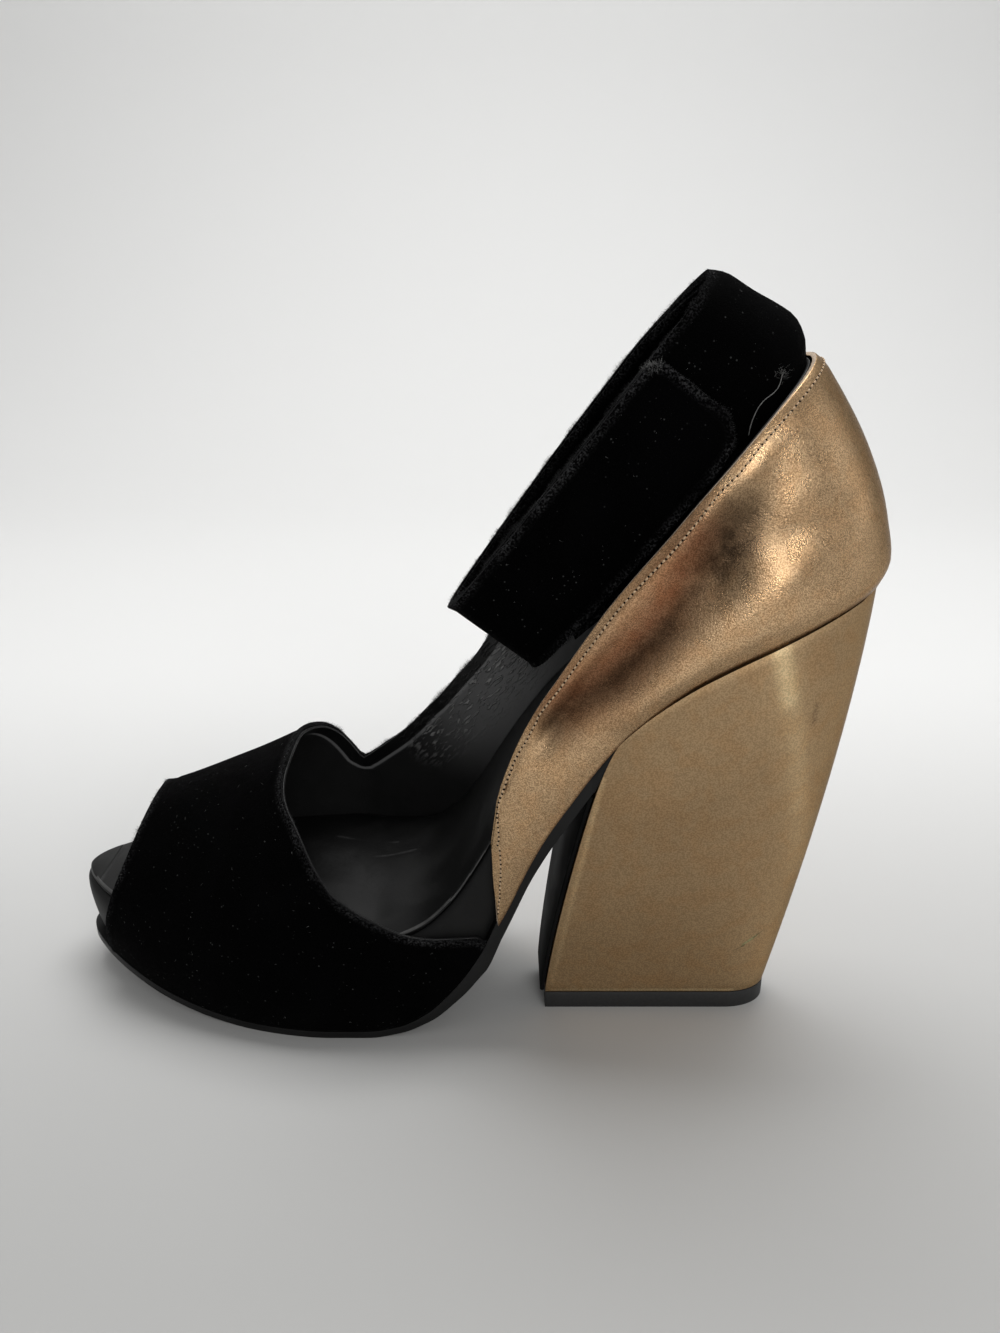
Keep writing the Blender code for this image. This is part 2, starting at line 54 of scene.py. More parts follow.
UPPER_WALL = 1.8
COUNTER_WALL = 1.3
OUTSOLE = 2.0
WAIST_SOLE = 3.2
INSOLE = 1.6
TOP_PIECE = 5.0
BREAST_PANEL = 1.2
STRAP_WIDTH = 26.0
STRAP_WALL = 2.2

# How the walls are made up: a leather lining inside and velvet outside
UPPER_LINING = 0.75
STRAP_LINING = 0.8
LAYER_GAP = 0.08

# Places along the shoe, before it is centred on its own box
TOE_X = -120.5
BALL_X = -46.0
NOTCH_X = -42.5
SEAT_X = 52.0
HEEL_X = 88.0
BREAST_X = 28.0
WAIST_SOLE_START = -30.0
WAIST_SOLE_FULL = 0.0
CENTRE = np.array([-14.0, 14.5, 0.0])

# Roundness of the last
ARCH_FULLNESS = 2.4
OUTER_TOE = (1.6, 0.60)
INNER_TOE = (2.1, 0.56)
SEAT_FULLNESS = 2.2
ROLL_HEIGHT = 16.0
TUCK_TURN = 12.0
LEAN_START = -20.0


def table(kind, rows):
    """Named rows from plain ones."""
    return [kind(*row) for row in rows]


# The last, a row for each section: height of its lower edge, of the footbed and of the instep
# line, the outer and inner sides, where the instep line runs, and how far the lower edge is tucked in
Section = namedtuple("Section", "x base bed instep outer inner ridge tuck")
SECTIONS = table(Section, [
    (-120.5, 13.0, 30.0, 44.0, -22.5, 53.0, 19.0, 4.0),
    (-105.0, 8.6, 28.6, 48.5, -22.5, 53.0, 19.0, 4.0),
    (-90.0, 5.0, 27.6, 53.0, -22.5, 53.0, 19.0, 4.0),
    (-75.0, 2.9, 27.0, 58.5, -22.5, 53.0, 20.0, 4.0),
    (-65.0, 2.3, 27.0, 62.5, -22.5, 53.0, 21.0, 4.0),
    (-46.0, 2.3, 27.4, 73.5, -22.5, 53.0, 21.0, 4.0),
    (-35.0, 2.3, 28.6, 87.0, -22.0, 49.0, 19.0, 3.5),
    (-27.0, 3.4, 31.0, 98.0, -21.0, 44.5, 17.5, 3.0),
    (-20.0, 6.8, 34.2, 108.0, -20.0, 40.0, 16.0, 2.5),
    (-12.0, 15.0, 42.0, 119.0, -19.2, 35.5, 13.0, 2.0),
    (-5.0, 26.0, 53.0, 127.0, -18.7, 31.5, 10.0, 1.5),
    (0.0, 38.0, 62.5, 132.0, -18.7, 29.0, 8.0, 1.5),
    (7.0, 54.0, 74.5, 140.0, -19.0, 26.5, 6.0, 1.5),
    (15.0, 68.2, 86.0, 150.0, -19.8, 24.5, 4.0, 1.5),
    (28.0, 87.4, 99.5, 165.0, -21.3, 22.8, 1.5, 1.5),
    (41.0, 99.0, 108.6, 178.0, -22.3, 22.5, 0.0, 1.5),
    (52.0, 105.8, 114.6, 187.0, -22.5, 22.5, 0.0, 1.5),
    (62.0, 110.8, 119.4, 193.0, -22.5, 22.5, 0.0, 1.5),
    (77.0, 117.6, 125.0, 200.0, -22.5, 22.5, 0.0, 1.5),
    (88.0, 122.0, 128.0, 203.0, -22.5, 22.5, 0.0, 1.5),
])

# How far the back of the heel stands behind its lower edge, by height above that edge
HeelCurve = namedtuple("HeelCurve", "rise setback")
HEEL_CURVE = table(HeelCurve, [
    (0.0, 0.0), (8.0, 0.2), (16.0, 1.8), (30.0, 7.6), (52.0, 22.3), (60.0, 29.0),
])

# Edges of the vamp by share of the section's height: the peep toe and the throat on both sides
Edge = namedtuple("Edge", "share x")
PEEP = table(Edge, [
    (0.0, -109.0), (0.3, -108.0), (0.55, -105.0), (0.85, -99.0), (1.0, -96.0),
])
OUTER_THROAT = table(Edge, [
    (0.0, -4.0), (0.055, -5.6), (0.35, -29.5), (0.54, -42.2), (0.78, -51.0), (0.96, -57.0),
    (1.0, -56.5),
])
INNER_THROAT = table(Edge, [
    (0.60, NOTCH_X), (0.90, -51.0), (1.0, -56.5),
])
NOTCH_SHARE = 0.62

# Heights of the toplines above the lower edge
Topline = namedtuple("Topline", "x outer inner")
UPPER_TOP = table(Topline, [
    (-42.5, 20.0, 46.0), (-30.0, 20.0, 57.2), (-20.0, 20.0, 65.5), (-12.0, 20.0, 67.6),
    (-5.0, 20.0, 65.0), (-1.5, 25.2, 61.6), (0.0, 31.2, 60.0), (2.0, 33.0, 58.2), (6.0, 33.6, 54.6),
    (10.0, 33.4, 51.0), (16.0, 32.5, 46.2), (24.0, 31.9, 40.8), (28.0, 32.2, 38.5),
    (41.0, 34.6, 36.0), (52.0, 38.0, 38.2), (70.0, 43.7, 43.7), (82.0, 47.3, 47.3),
    (88.0, 49.2, 49.2),
])
COUNTER_TOP = table(Topline, [
    (-1.5, 25.5, 25.5), (0.0, 31.5, 31.0), (2.0, 33.3, 32.6), (6.0, 33.9, 33.0), (10.0, 33.7, 33.0),
    (16.0, 32.8, 32.6), (24.0, 32.2, 32.2), (28.0, 32.5, 32.5), (41.0, 34.9, 35.0),
    (52.0, 38.3, 38.4), (70.0, 44.0, 44.0), (82.0, 47.6, 47.6), (88.0, 49.5, 49.5),
])
LINING_FRONT_X = -0.5
VELVET_END_X = 44.0
COUNTER_FRONT_X = -1.5

# The heel block: its sole on the floor and how its edges run up to the seat
HEEL_FOOT_FRONT = 12.5
HEEL_FOOT_BACK = 74.2
HEEL_FOOT_HALF = 8.6
HEEL_FOOT_ROUND = 12.0
HEEL_FRONT_CURVE = 1.3
HEEL_CORNER = 2.0
HEEL_CORNER_TURN = 12.0
HEEL_BACK_CURVE = 1.55
SEAT_SPREAD = 2.8
OUTSOLE_SPREAD = 2.4
SOLE_SLANT = 4.8
SOLE_END = 0.6
BREAST_TOP = 0.81
INSOLE_INSET = 0.8

# The strap's loop, lying in a plane that falls towards the toe: distance along it from the back
# fold and distance to the side, from the inner end round the ankle to the end of the flap
STRAP_BACK = np.array([65.25, 0.0, 174.4])
STRAP_FALL = np.array([-0.6, 0.0, -0.8])
STRAP_RISE = np.array([-0.8, 0.0, 0.6])
STRAP_DROP = np.array([0.42, 0.0, -0.91])
Loop = namedtuple("Loop", "along side drop")
STRAP_LOOP = table(Loop, [
    (80.0, -5.5, 3.0), (65.0, -9.8, 4.5), (45.0, -13.2, 5.3), (25.0, -13.6, 5.3), (9.0, -10.6, 5.3),
    (0.6, 0.0, 5.3), (9.0, 11.2, 5.3), (25.0, 15.0, 5.0), (45.0, 15.0, 3.0), (65.0, 12.0, 1.5),
    (82.0, 7.5, 0.3), (91.5, 3.6, 0.3), (94.0, 0.0, 0.3), (91.5, -5.2, 0.3), (82.0, -8.8, 0.3),
    (65.0, -12.8, 0.3), (45.0, -16.1, 0.3), (20.4, -16.4, 0.3),
])

# How far the band bulges out at the back fold, by share of its width, how much lower its upper edge
# is there, and the flap's round corners
Bulge = namedtuple("Bulge", "share out")
STRAP_BULGE = table(Bulge, [
    (0.0, 2.6), (0.1, 3.9), (0.2, 4.5), (0.35, 4.1), (0.6, 3.0), (0.9, 2.1), (1.0, 0.2),
])
BULGE_REACH = 22.0
STRAP_CROWN = 1.3
FLAP_LOW_CORNER = 8.0
FLAP_TOP_CORNER = 4.0

# Soft folds of the counter: depth (a ridge is positive), half width and the line each runs along, as
# places along the shoe and heights, seen from the outer side
Fold = namedtuple("Fold", "depth width line")
TROUGH = [
    (52.0, 142.0), (50.0, 136.0), (47.2, 130.0), (43.0, 124.5), (38.5, 119.0), (33.5, 113.0), (11.0, 91.0),
]
COUNTER_FOLDS = [
    Fold(-2.2, 6.5, TROUGH),
    Fold(1.3, 5.5, [(62.0, 126.5), (58.0, 122.5), (53.0, 118.5), (47.0, 115.5), (42.0, 112.5), (29.0, 98.0)]),
    Fold(-1.0, 4.5, [(62.0, 137.0), (66.0, 139.0), (71.0, 140.0)]),
    Fold(-0.4, 3.8, [(62.5, 149.0), (60.5, 145.0)]),
    Fold(-0.4, 3.6, [(58.5, 155.0), (57.5, 150.0)]),
    Fold(0.7, 3.5, [(52.0, 148.5), (51.2, 145.5)]),
]
INNER_FOLDS = 0.4

# Dark tones along the folds: reddish wear with painted shade beside the trough, and painted shade in it
Tone = namedtuple("Tone", "strength width line")
COUNTER_WEAR_AND_SHADE = [
    Tone(1.0, 7.0, [(44.0, 136.0), (40.0, 129.5), (37.0, 123.5), (34.5, 117.5), (24.0, 104.5), (15.0, 97.0)]),
]
TROUGH_END = [(47.2, 130.0), (43.2, 125.0), (39.2, 119.8), (35.4, 114.4), (26.0, 104.0), (12.0, 91.5)]
COUNTER_SHADE = [
    Tone(1.0, 8.0, [(52.0, 140.5), (50.0, 135.5), (47.5, 130.5)]),
    Tone(0.85, 3.6, TROUGH_END),
]

# The counter is drawn in along its rim, pressed down by its stitches, full above its foot and turned
# under there; its folds start behind the rim
RIM_PULL = 0.8
RIM_PULL_REACH = 2.8
RIM_PULL_START = 40.0
FOOT_TUCK = 1.1
FOOT_TUCK_HEIGHT = 1.9
FOOT_ROLL = 0.9
FOOT_ROLL_HEIGHT = 7.0
FOOT_ROLL_START = 24.0
FOOT_ROLL_RUN = 20.0
# Painted shade just above the counter's foot, in the groove over the heel
FOOT_SHADE = 1.0
FOOT_SHADE_HEIGHT = 2.4
BULGE = 0.9
BULGE_HEIGHT = 6.0
BULGE_WIDTH = 4.5
FOLD_START = 1.0
FOLD_RUN = 5.0
EDGE_PRESS = 0.22
EDGE_PRESS_WIDTH = 0.7

# The velvet's folded rims: a roll and a shallow line behind it
RIM_ROLL = 0.4
RIM_ROLL_REACH = 2.2
RIM_LINE = 0.18
RIM_LINE_AT = 3.0
RIM_LINE_WIDTH = 0.5

# How far the upper's lining stands above the velvet's topline, and the strap's lies inside its edges
LINING_RISE = 0.25
STRAP_LINING_INSET = 0.35

# Rounding of edges: widths in millimetres, angles in radians and the rim's share of the wall
SHARP_EDGE = 0.6
SHADED_SHARP = 0.9
EDGE_SEGMENTS = 2
RIM_ROUND = 0.42
RIM_SEGMENTS = 3
OUTSOLE_ROUND = 0.45
PLATFORM_ROUND = 0.3
INSOLE_ROUND = 0.15
HEEL_ROUND = 1.0
BLACK_EDGE_ROUND = 0.4

# Steps of the fine meshes
WELD = 1e-6
SHORTEST_STEP = 0.8
SLOPE_STEP = 0.5
TOE_STEPS = 34
WAIST_STEPS = 76
SEAT_STEPS = 26
TOE_CROWDING = 1.8
SEAT_CROWDING = 2.0
VAMP_STEPS = 60
ROW_SPLIT = 3
OUTER_SHARES = (0.0, 0.05, 0.115, 0.2, 0.3, 0.42, 0.55, 0.68, 0.8, 0.9, 0.96, 0.99, 1.0)
THROAT_SHARES = (0.99, 0.96, 0.9, 0.8, 0.7)
INNER_SHARES = (NOTCH_SHARE, 0.53, 0.42, 0.3, 0.2, 0.115, 0.05, 0.0)
COUNTER_ROWS = 30
FOOT_REACH = 0.5
SIDE_RUN = 0.7
HEEL_LEVELS = 36
HEEL_SIDE_STEPS = 14
HEEL_ROUND_STEPS = 26
STRAP_STEPS = 260
STRAP_DENSE = 20
STRAP_ROWS = 16
Round = namedtuple("Round", "level inset")
PLATFORM_EDGE = table(Round, [
    (0.0, 0.0), (0.75, 0.0), (0.93, 0.25), (1.0, 1.4),
])
PLATFORM_LEVELS = 22
INSOLE_EDGE = table(Round, [
    (0.0, 0.3), (0.4, 0.0), (0.75, 0.1), (1.0, 0.7),
])
INSOLE_LEVELS = 6
# Heights above the insole's lower face of its upper edge band, which carries a painted highlight
SOCK_RIM_HIGHLIGHT_LOW = 1.05
SOCK_RIM_HIGHLIGHT_HIGH = 1.57

# The materials of a shell's faces, by number
OUTER_FACE = 0
RIM_FACE = 1
INNER_FACE = 2

SEED = 11
RNG = np.random.default_rng(SEED)


def smooth(rows, key, value):
    """A smooth curve, with no overshoot, through one column of a table against another."""
    xs = np.array([getattr(row, key) for row in rows], float)
    ys = np.array([getattr(row, value) for row in rows], float)
    slope = np.diff(ys) / np.diff(xs)
    product = slope[:-1] * slope[1:]
    total = np.where(product > 0, slope[:-1] + slope[1:], 1.0)
    inner = np.where(product > 0, 2 * product / total, 0.0)
    tangent = np.concatenate([slope[:1], inner, slope[-1:]])

    def curve(x):
        x = np.clip(x, xs[0], xs[-1])
        i = np.clip(np.searchsorted(xs, x) - 1, 0, len(xs) - 2)
        span = xs[i + 1] - xs[i]
        t = (x - xs[i]) / span
        start = t * (1 - t) ** 2 * span * tangent[i]
        end = t * t * (t - 1) * span * tangent[i + 1]
        return ys[i] + (ys[i + 1] - ys[i]) * ease(t) + start + end

    return curve


def unit(vectors):
    return vectors / np.linalg.norm(vectors, axis=-1, keepdims=True)


def ease(t):
    t = np.clip(t, 0.0, 1.0)
    return t * t * (3 - 2 * t)


base_of, bed_of, instep_of, outer_of, inner_of, ridge_of, tuck_of = (
    smooth(SECTIONS, "x", name) for name in Section._fields[1:])
setback_of = smooth(HEEL_CURVE, "rise", "setback")
peep_of, outer_throat_of, inner_throat_of = (
    smooth(rows, "share", "x") for rows in (PEEP, OUTER_THROAT, INNER_THROAT))
bulge_of = smooth(STRAP_BULGE, "share", "out")


def widest(x, side):
    """Sideways place of the last's widest line; side is -1 on the outer and +1 on the inner side."""
    straight = outer_of(x) if side < 0 else inner_of(x)
    power, root = OUTER_TOE if side < 0 else INNER_TOE
    toe = np.clip((BALL_X - x) / (BALL_X - TOE_X), 0.0, 1.0)
    seat = np.clip((x - SEAT_X) / (HEEL_X - SEAT_X), 0.0, 1.0)
    toe_share = np.clip(1 - toe**power, 0.0, 1.0) ** root
    seat_share = np.clip(1 - seat**SEAT_FULLNESS, 0.0, 1.0) ** (1 / SEAT_FULLNESS)
    centre = ridge_of(x)
    return centre + (straight - centre) * toe_share * seat_share


def last(x, rise, side):
    """A point of the last at section x, a height above its lower edge, on one side."""
    x, rise = np.broadcast_arrays(np.asarray(x, float), np.asarray(rise, float))
    base = base_of(x)
    centre = ridge_of(x)
    room = np.abs(widest(x, side) - centre)
    share = np.clip(rise / (instep_of(x) - base), 0.0, 1.0)
    arch = np.clip(1 - share**ARCH_FULLNESS, 0.0, 1.0) ** (1 / ARCH_FULLNESS)
    tuck = tuck_of(x) * (1 - np.clip(rise / ROLL_HEIGHT, 0.0, 1.0)) ** 2
    sideways = np.clip(room / TUCK_TURN, 0.0, 1.0)
    inward = np.where(x < 0, 1.0, -1.0)
    lean = setback_of(rise) * ease((x - LEAN_START) / (HEEL_X - LEAN_START))
    px = x + inward * tuck * (1 - sideways) - lean
    py = centre + side * (room * arch - tuck * sideways)
    return np.stack([px, py, base + rise], axis=-1)


def clustered(start, end, count, crowding):
    """Steps from start to end that grow closer towards the end."""
    t = np.linspace(0.0, 1.0, count + 1)
    return start + (end - start) * (1 - (1 - t) ** crowding)


TOE_XS = clustered(BALL_X, TOE_X, TOE_STEPS, TOE_CROWDING)[::-1]
WAIST_XS = np.linspace(BALL_X, SEAT_X, WAIST_STEPS + 1)
SEAT_XS = clustered(SEAT_X, HEEL_X, SEAT_STEPS, SEAT_CROWDING)
ALL_XS = np.concatenate([TOE_XS, WAIST_XS[1:], SEAT_XS[1:]])


def split(values, parts):
    """A list of values with each step between them cut into equal parts."""
    values = np.asarray(values, float)
    places = np.arange((len(values) - 1) * parts + 1) / parts
    return np.interp(places, np.arange(len(values)), values)


def spread(path, amount):
    """A plan path moved to its right-hand side; where its two ends meet it is taken as a loop."""
    plan = path[:, :2]
    closed = np.linalg.norm(plan[0] - plan[-1]) < WELD
    first, final = (plan[-2:-1], plan[1:2]) if closed else (plan[:1], plan[-1:])
    run = unit(np.concatenate([plan[1:], final]) - np.concatenate([first, plan[:-1]]))
    moved = path.copy()
    along_side = np.abs(run[:, 0]) > SIDE_RUN
    safe_run = np.where(along_side, run[:, 0], 1.0)
    moved[:, 0] += np.where(along_side, 0.0, run[:, 1] * amount)
    moved[:, 1] -= np.where(along_side, amount / safe_run, run[:, 0] * amount)
    return moved


class Nodes:
    """A node tree and short ways to add and feed its nodes."""

    def __init__(self, tree):
        self.tree = tree

    def feed(self, socket, value):
        if isinstance(value, bpy.types.NodeSocket):
            self.tree.links.new(value, socket)
        else:
            socket.default_value = (*value, 1.0) if socket.type == "RGBA" else value

    def add(self, kind, inputs, **settings):
        """The outputs of a new node, with its settings made and its inputs fed."""
        node = self.tree.nodes.new("ShaderNode" + kind)
        for name, value in settings.items():
            setattr(node, name, value)
        for socket, value in inputs.items():
            self.feed(node.inputs[socket], value)
        return node.outputs


class Look(Nodes):
    """A procedural material: a Principled shader and the nodes that feed it."""

    def __init__(self, name, colour, roughness, **fixed):
        self.material = bpy.data.materials.new(name)
        self.material.use_nodes = True
        super().__init__(self.material.node_tree)
        self.shader = self.tree.nodes["Principled BSDF"]
        self.place = self.add("TexCoord", {})["Object"]
        self.set("Base Color", colour)
        self.set("Roughness", roughness)
        for socket, value in fixed.items():
            self.set(socket.replace("_", " ").title().replace("Ior", "IOR"), value)

    def set(self, socket, value):
        self.feed(self.shader.inputs[socket], value)

    def noise(self, size, detail=2.0, stretch=(1.0, 1.0, 1.0), turn=(0.0, 0.0, 0.0), warp=0.0):
        """Soft noise with features of about one size, in millimetres, turned and then stretched."""
        angles = [math.radians(angle) for angle in turn]
        mapping = {"Vector": self.place, "Scale": stretch, "Rotation": angles}
        where = self.add("Mapping", mapping, vector_type="TEXTURE")["Vector"]
        inputs = {"Vector": where, "Scale": 1 / (size * MM), "Detail": detail, "Distortion": warp}
        return self.add("TexNoise", inputs)["Fac"]

    def cells(self, size):
        """Distance to the middle of cells of about one size, in millimetres."""
        return self.add("TexVoronoi", {"Vector": self.place, "Scale": 1 / (size * MM)})["Distance"]

    def maths(self, operation, a, b):
        return self.add("Math", {0: a, 1: b}, operation=operation)[0]

    def times(self, a, b):
        return self.maths("MULTIPLY", a, b)

    def step(self, value, low, high, to_low=0.0, to_high=1.0):
        """A soft step between two values."""
        inputs = {"Value": value, "From Min": low, "From Max": high, "To Min": to_low, "To Max": to_high}
        return self.add("MapRange", inputs, interpolation_type="SMOOTHSTEP")["Result"]

    def mix(self, share, a, b):
        """A blend of two colours, which are inputs 6 and 7 of the node and its output 2."""
        return self.add("Mix", {0: share, 6: a, 7: b}, data_type="RGBA")[2]

    def mark(self, name):
        return self.add("Attribute", {}, attribute_name=name)["Fac"]

    def vector(self, operation, a, b, output="Vector"):
        return self.add("VectorMath", {0: a, 1: b}, operation=operation)[output]

    def stroke(self, start, end, width):
        """1 on a straight stroke between two places of the part, in millimetres, fading to 0 beside it."""
        start, end = Vector(start) * MM, Vector(end) * MM
        along = (end - start).normalized()
        away = self.vector("SUBTRACT", self.place, start)
        reach = self.vector("DOT_PRODUCT", away, along, "Value")
        held = self.maths("MINIMUM", self.maths("MAXIMUM", reach, 0.0), (end - start).length)
        nearest = self.add("VectorMath", {0: along, "Scale": held}, operation="SCALE")[0]
        distance = self.vector("DISTANCE", away, nearest, "Value")
        return self.step(distance, width * MM, 0.0)

    def bump(self, height, depth, below=None):
        """Relief of a depth in millimetres, over a relief below it."""
        inputs = {"Strength": 1.0, "Distance": depth * MM, "Height": height}
        if below is not None:
            inputs["Normal"] = below
        return self.add("Bump", inputs)["Normal"]


def grey(value):
    return (value, value, value)


def shaded(colour, share):
    return tuple(share * value for value in colour)


# The finishes: sizes and depths are in millimetres, and steps are between values of a noise
def velvet_look(name, rim_light):
    """Deep black pile: brushed patches, a fine nap, greyer pile at the folded rims, partly worn pile and
    partly painted sheen, and specks of lint.
    """
    look = Look(name, grey(0.002), 0.9, specular_ior_level=0.02, sheen_weight=0.002,
                sheen_roughness=0.4, sheen_tint=(0.8, 0.82, 0.85))
    nap = look.noise(0.28, 3.0)
    brushed = look.step(look.noise(14.0, 3.0, stretch=(1.0, 1.0, 2.0), warp=0.6), 0.42, 0.7)
    pile = look.mix(brushed, grey(0.0002), (0.0006, 0.0006, 0.0007))
    fibres = look.mix(look.step(nap, 0.45, 0.85), pile, (0.0014, 0.0014, 0.0015))
    # Greyer pile near the folded rims: partly worn pile, partly painted sheen
    near_rim = look.step(look.mark("rim"), 2.6, 0.3)
    rim_wear_and_sheen = look.times(near_rim, look.step(look.noise(0.5, 3.0), 0.42, 0.7))
    rim_wear_and_sheen = look.times(rim_wear_and_sheen, look.step(look.noise(9.0, 2.0), 0.35, 0.65, 0.25, 1.0))
    edged = look.mix(look.times(rim_wear_and_sheen, rim_light), fibres, (0.03, 0.03, 0.031))
    specks = look.step(look.cells(1.7), 0.17, 0.06)
    chosen = look.step(look.noise(6.0, 2.0), 0.5, 0.62)
    lint = look.times(specks, chosen)
    look.set("Base Color", look.mix(lint, edged, (0.03, 0.031, 0.03)))
    look.set("Normal", look.bump(nap, 0.22, look.bump(brushed, 0.25)))
    return look.material


def lining_look():
    """Black lining leather, greyer as painted light where it is open to the light, and creased along the
    inner topline with painted glints on the creases.
    """
    look = Look("lining_leather", grey(0.012), 0.4, specular_ior_level=0.4)
    creases = look.noise(0.7, 3.0, stretch=(5.0, 4.0, 1.0), turn=(0.0, -52.0, 0.0), warp=0.3)
    bend = look.stroke((-8.0, 23.0, 62.0), (16.0, 11.0, 92.0), 14.0)
    creases_and_glints = look.times(look.step(creases, 0.52, 0.62), bend)
    # Painted light where the lining lies open to the light
    painted_light_side = look.stroke((8.0, 14.5, 74.0), (34.0, 8.0, 104.0), 30.0)
    tone = look.mix(painted_light_side, grey(0.01), grey(0.095))
    # The creases are lighter as painted glints
    tone = look.mix(look.times(creases_and_glints, 0.8), tone, (0.24, 0.24, 0.235))
    edge = look.mark("rim")
    topline = look.step(look.stroke((-26.0, 27.0, 58.0), (24.0, 9.0, 100.0), 24.0), 0.0, 0.3)
    facing = look.times(look.step(edge, 3.9, 3.3), topline)
    tone = look.mix(facing, tone, grey(0.002))
    binding = look.times(look.step(edge, 3.4, 3.8), look.step(edge, 4.8, 4.2))
    tone = look.mix(look.times(binding, topline), tone, grey(0.13))
    look.set("Base Color", tone)
    look.set("Roughness", look.step(look.noise(6.0, 2.0), 0.3, 0.7, 0.34, 0.46))
    look.set("Normal", look.bump(creases_and_glints, 0.9, look.bump(look.noise(0.5, 2.0), 0.03)))
    return look.material


def bronze_look(name, colour, grain_size, grain_depth, grain_tone, roughness, marks):
    """Metallic bronze leather: fine grain, a soft change of tone, reddish wear and painted shade along the
    folds, and strokes of scuffs, painted light and painted highlights.
    """
    look = Look(name, colour, roughness, metallic=0.96, specular_tint=(0.45, 0.43, 0.41))
    tone = look.mix(look.step(look.noise(26.0, 2.0), 0.3, 0.7), shaded(colour, 0.92), colour)
    cloud = look.step(look.noise(3.0, 3.0), 0.25, 0.7, 0.85, 1.0)
    tone = look.mix(look.times(look.mark("wear_and_shade"), cloud), tone, WORN_RED_AND_SHADE)
    tone = look.mix(look.times(look.mark("shade"), cloud), tone, DEEP_SHADE)
    # Strokes of scuffs and scratches, and on the heel of painted light and painted highlights
    for start, end, width, tint, break_up in marks:
        patchy = look.step(look.noise(0.7, 3.0), 0.35, 0.6, 1.0 - break_up, 1.0)
        tone = look.mix(look.times(look.stroke(start, end, width), patchy), tone, tint)
    grain = look.noise(grain_size, 1.5)
    pores = look.step(grain, 0.6, 0.4, 0.0, grain_tone)
    ruddy = look.step(look.noise(6.0, 3.0, warp=0.5), 0.42, 0.66, 0.0, 0.5)
    tone = look.mix(ruddy, tone, look.vector("MULTIPLY", tone, (1.0, 0.9, 0.8)))
    tone = look.mix(pores, tone, look.vector("MULTIPLY", tone, (0.5, 0.48, 0.45)))
    look.set("Base Color", tone)
    look.set("Roughness", look.step(look.noise(4.0, 2.0), 0.3, 0.75, roughness - 0.03, roughness + 0.03))
    look.set("Normal", look.bump(grain, grain_depth))
    return look.material


def smooth_leather_look(name, dark, light, roughness, gloss, marks=()):
    """Smooth black leather with a slight change of tone, fine grain and a few soft light rubs."""
    look = Look(name, dark, roughness, specular_ior_level=gloss)
    cloud = look.step(look.noise(16.0, 3.0, warp=0.3), 0.35, 0.75)
    tone = look.mix(cloud, dark, light)
    for start, end, width, tint in marks:
        patchy = look.step(look.noise(1.2, 2.0), 0.3, 0.6, 0.4, 1.0)
        tone = look.mix(look.times(look.stroke(start, end, width), patchy), tone, tint)
    look.set("Base Color", tone)
    look.set("Roughness", look.step(cloud, 0.0, 1.0, roughness - 0.04, roughness + 0.06))
    look.set("Normal", look.bump(look.noise(0.45, 2.0), 0.025))
    return look.material


def plain_look(name, colour, roughness, size, depth, **fixed):
    """A plain finish with a slight change of tone and a fine relief."""
    look = Look(name, colour, roughness, **fixed)
    tone = look.step(look.noise(size, 3.0), 0.3, 0.7)
    look.set("Base Color", look.mix(tone, shaded(colour, 0.7), shaded(colour, 1.25)))
    look.set("Normal", look.bump(look.noise(size, 3.0), depth))
    return look.material


BLACK = grey(0.004)
DARK_GREY = (0.007, 0.007, 0.0068)
BRONZE_COLOUR = (0.62, 0.42, 0.24)
HEEL_COLOUR = (0.49, 0.335, 0.185)
# Painted highlight and painted light tones on the heel
HEEL_PAINTED_HIGHLIGHT = (0.9, 0.69, 0.4)
HEEL_PAINTED_LIGHT = (0.66, 0.47, 0.265)
HEEL_PAINTED_PALE_BAND = (0.58, 0.405, 0.226)
HEEL_LOW_PAINTED_LIGHT = (0.56, 0.385, 0.212)
# Tones of the counter's folds: reddish wear darkened with painted shade, and painted deep shade
WORN_RED_AND_SHADE = (0.29, 0.125, 0.062)
DEEP_SHADE = (0.03, 0.019, 0.011)

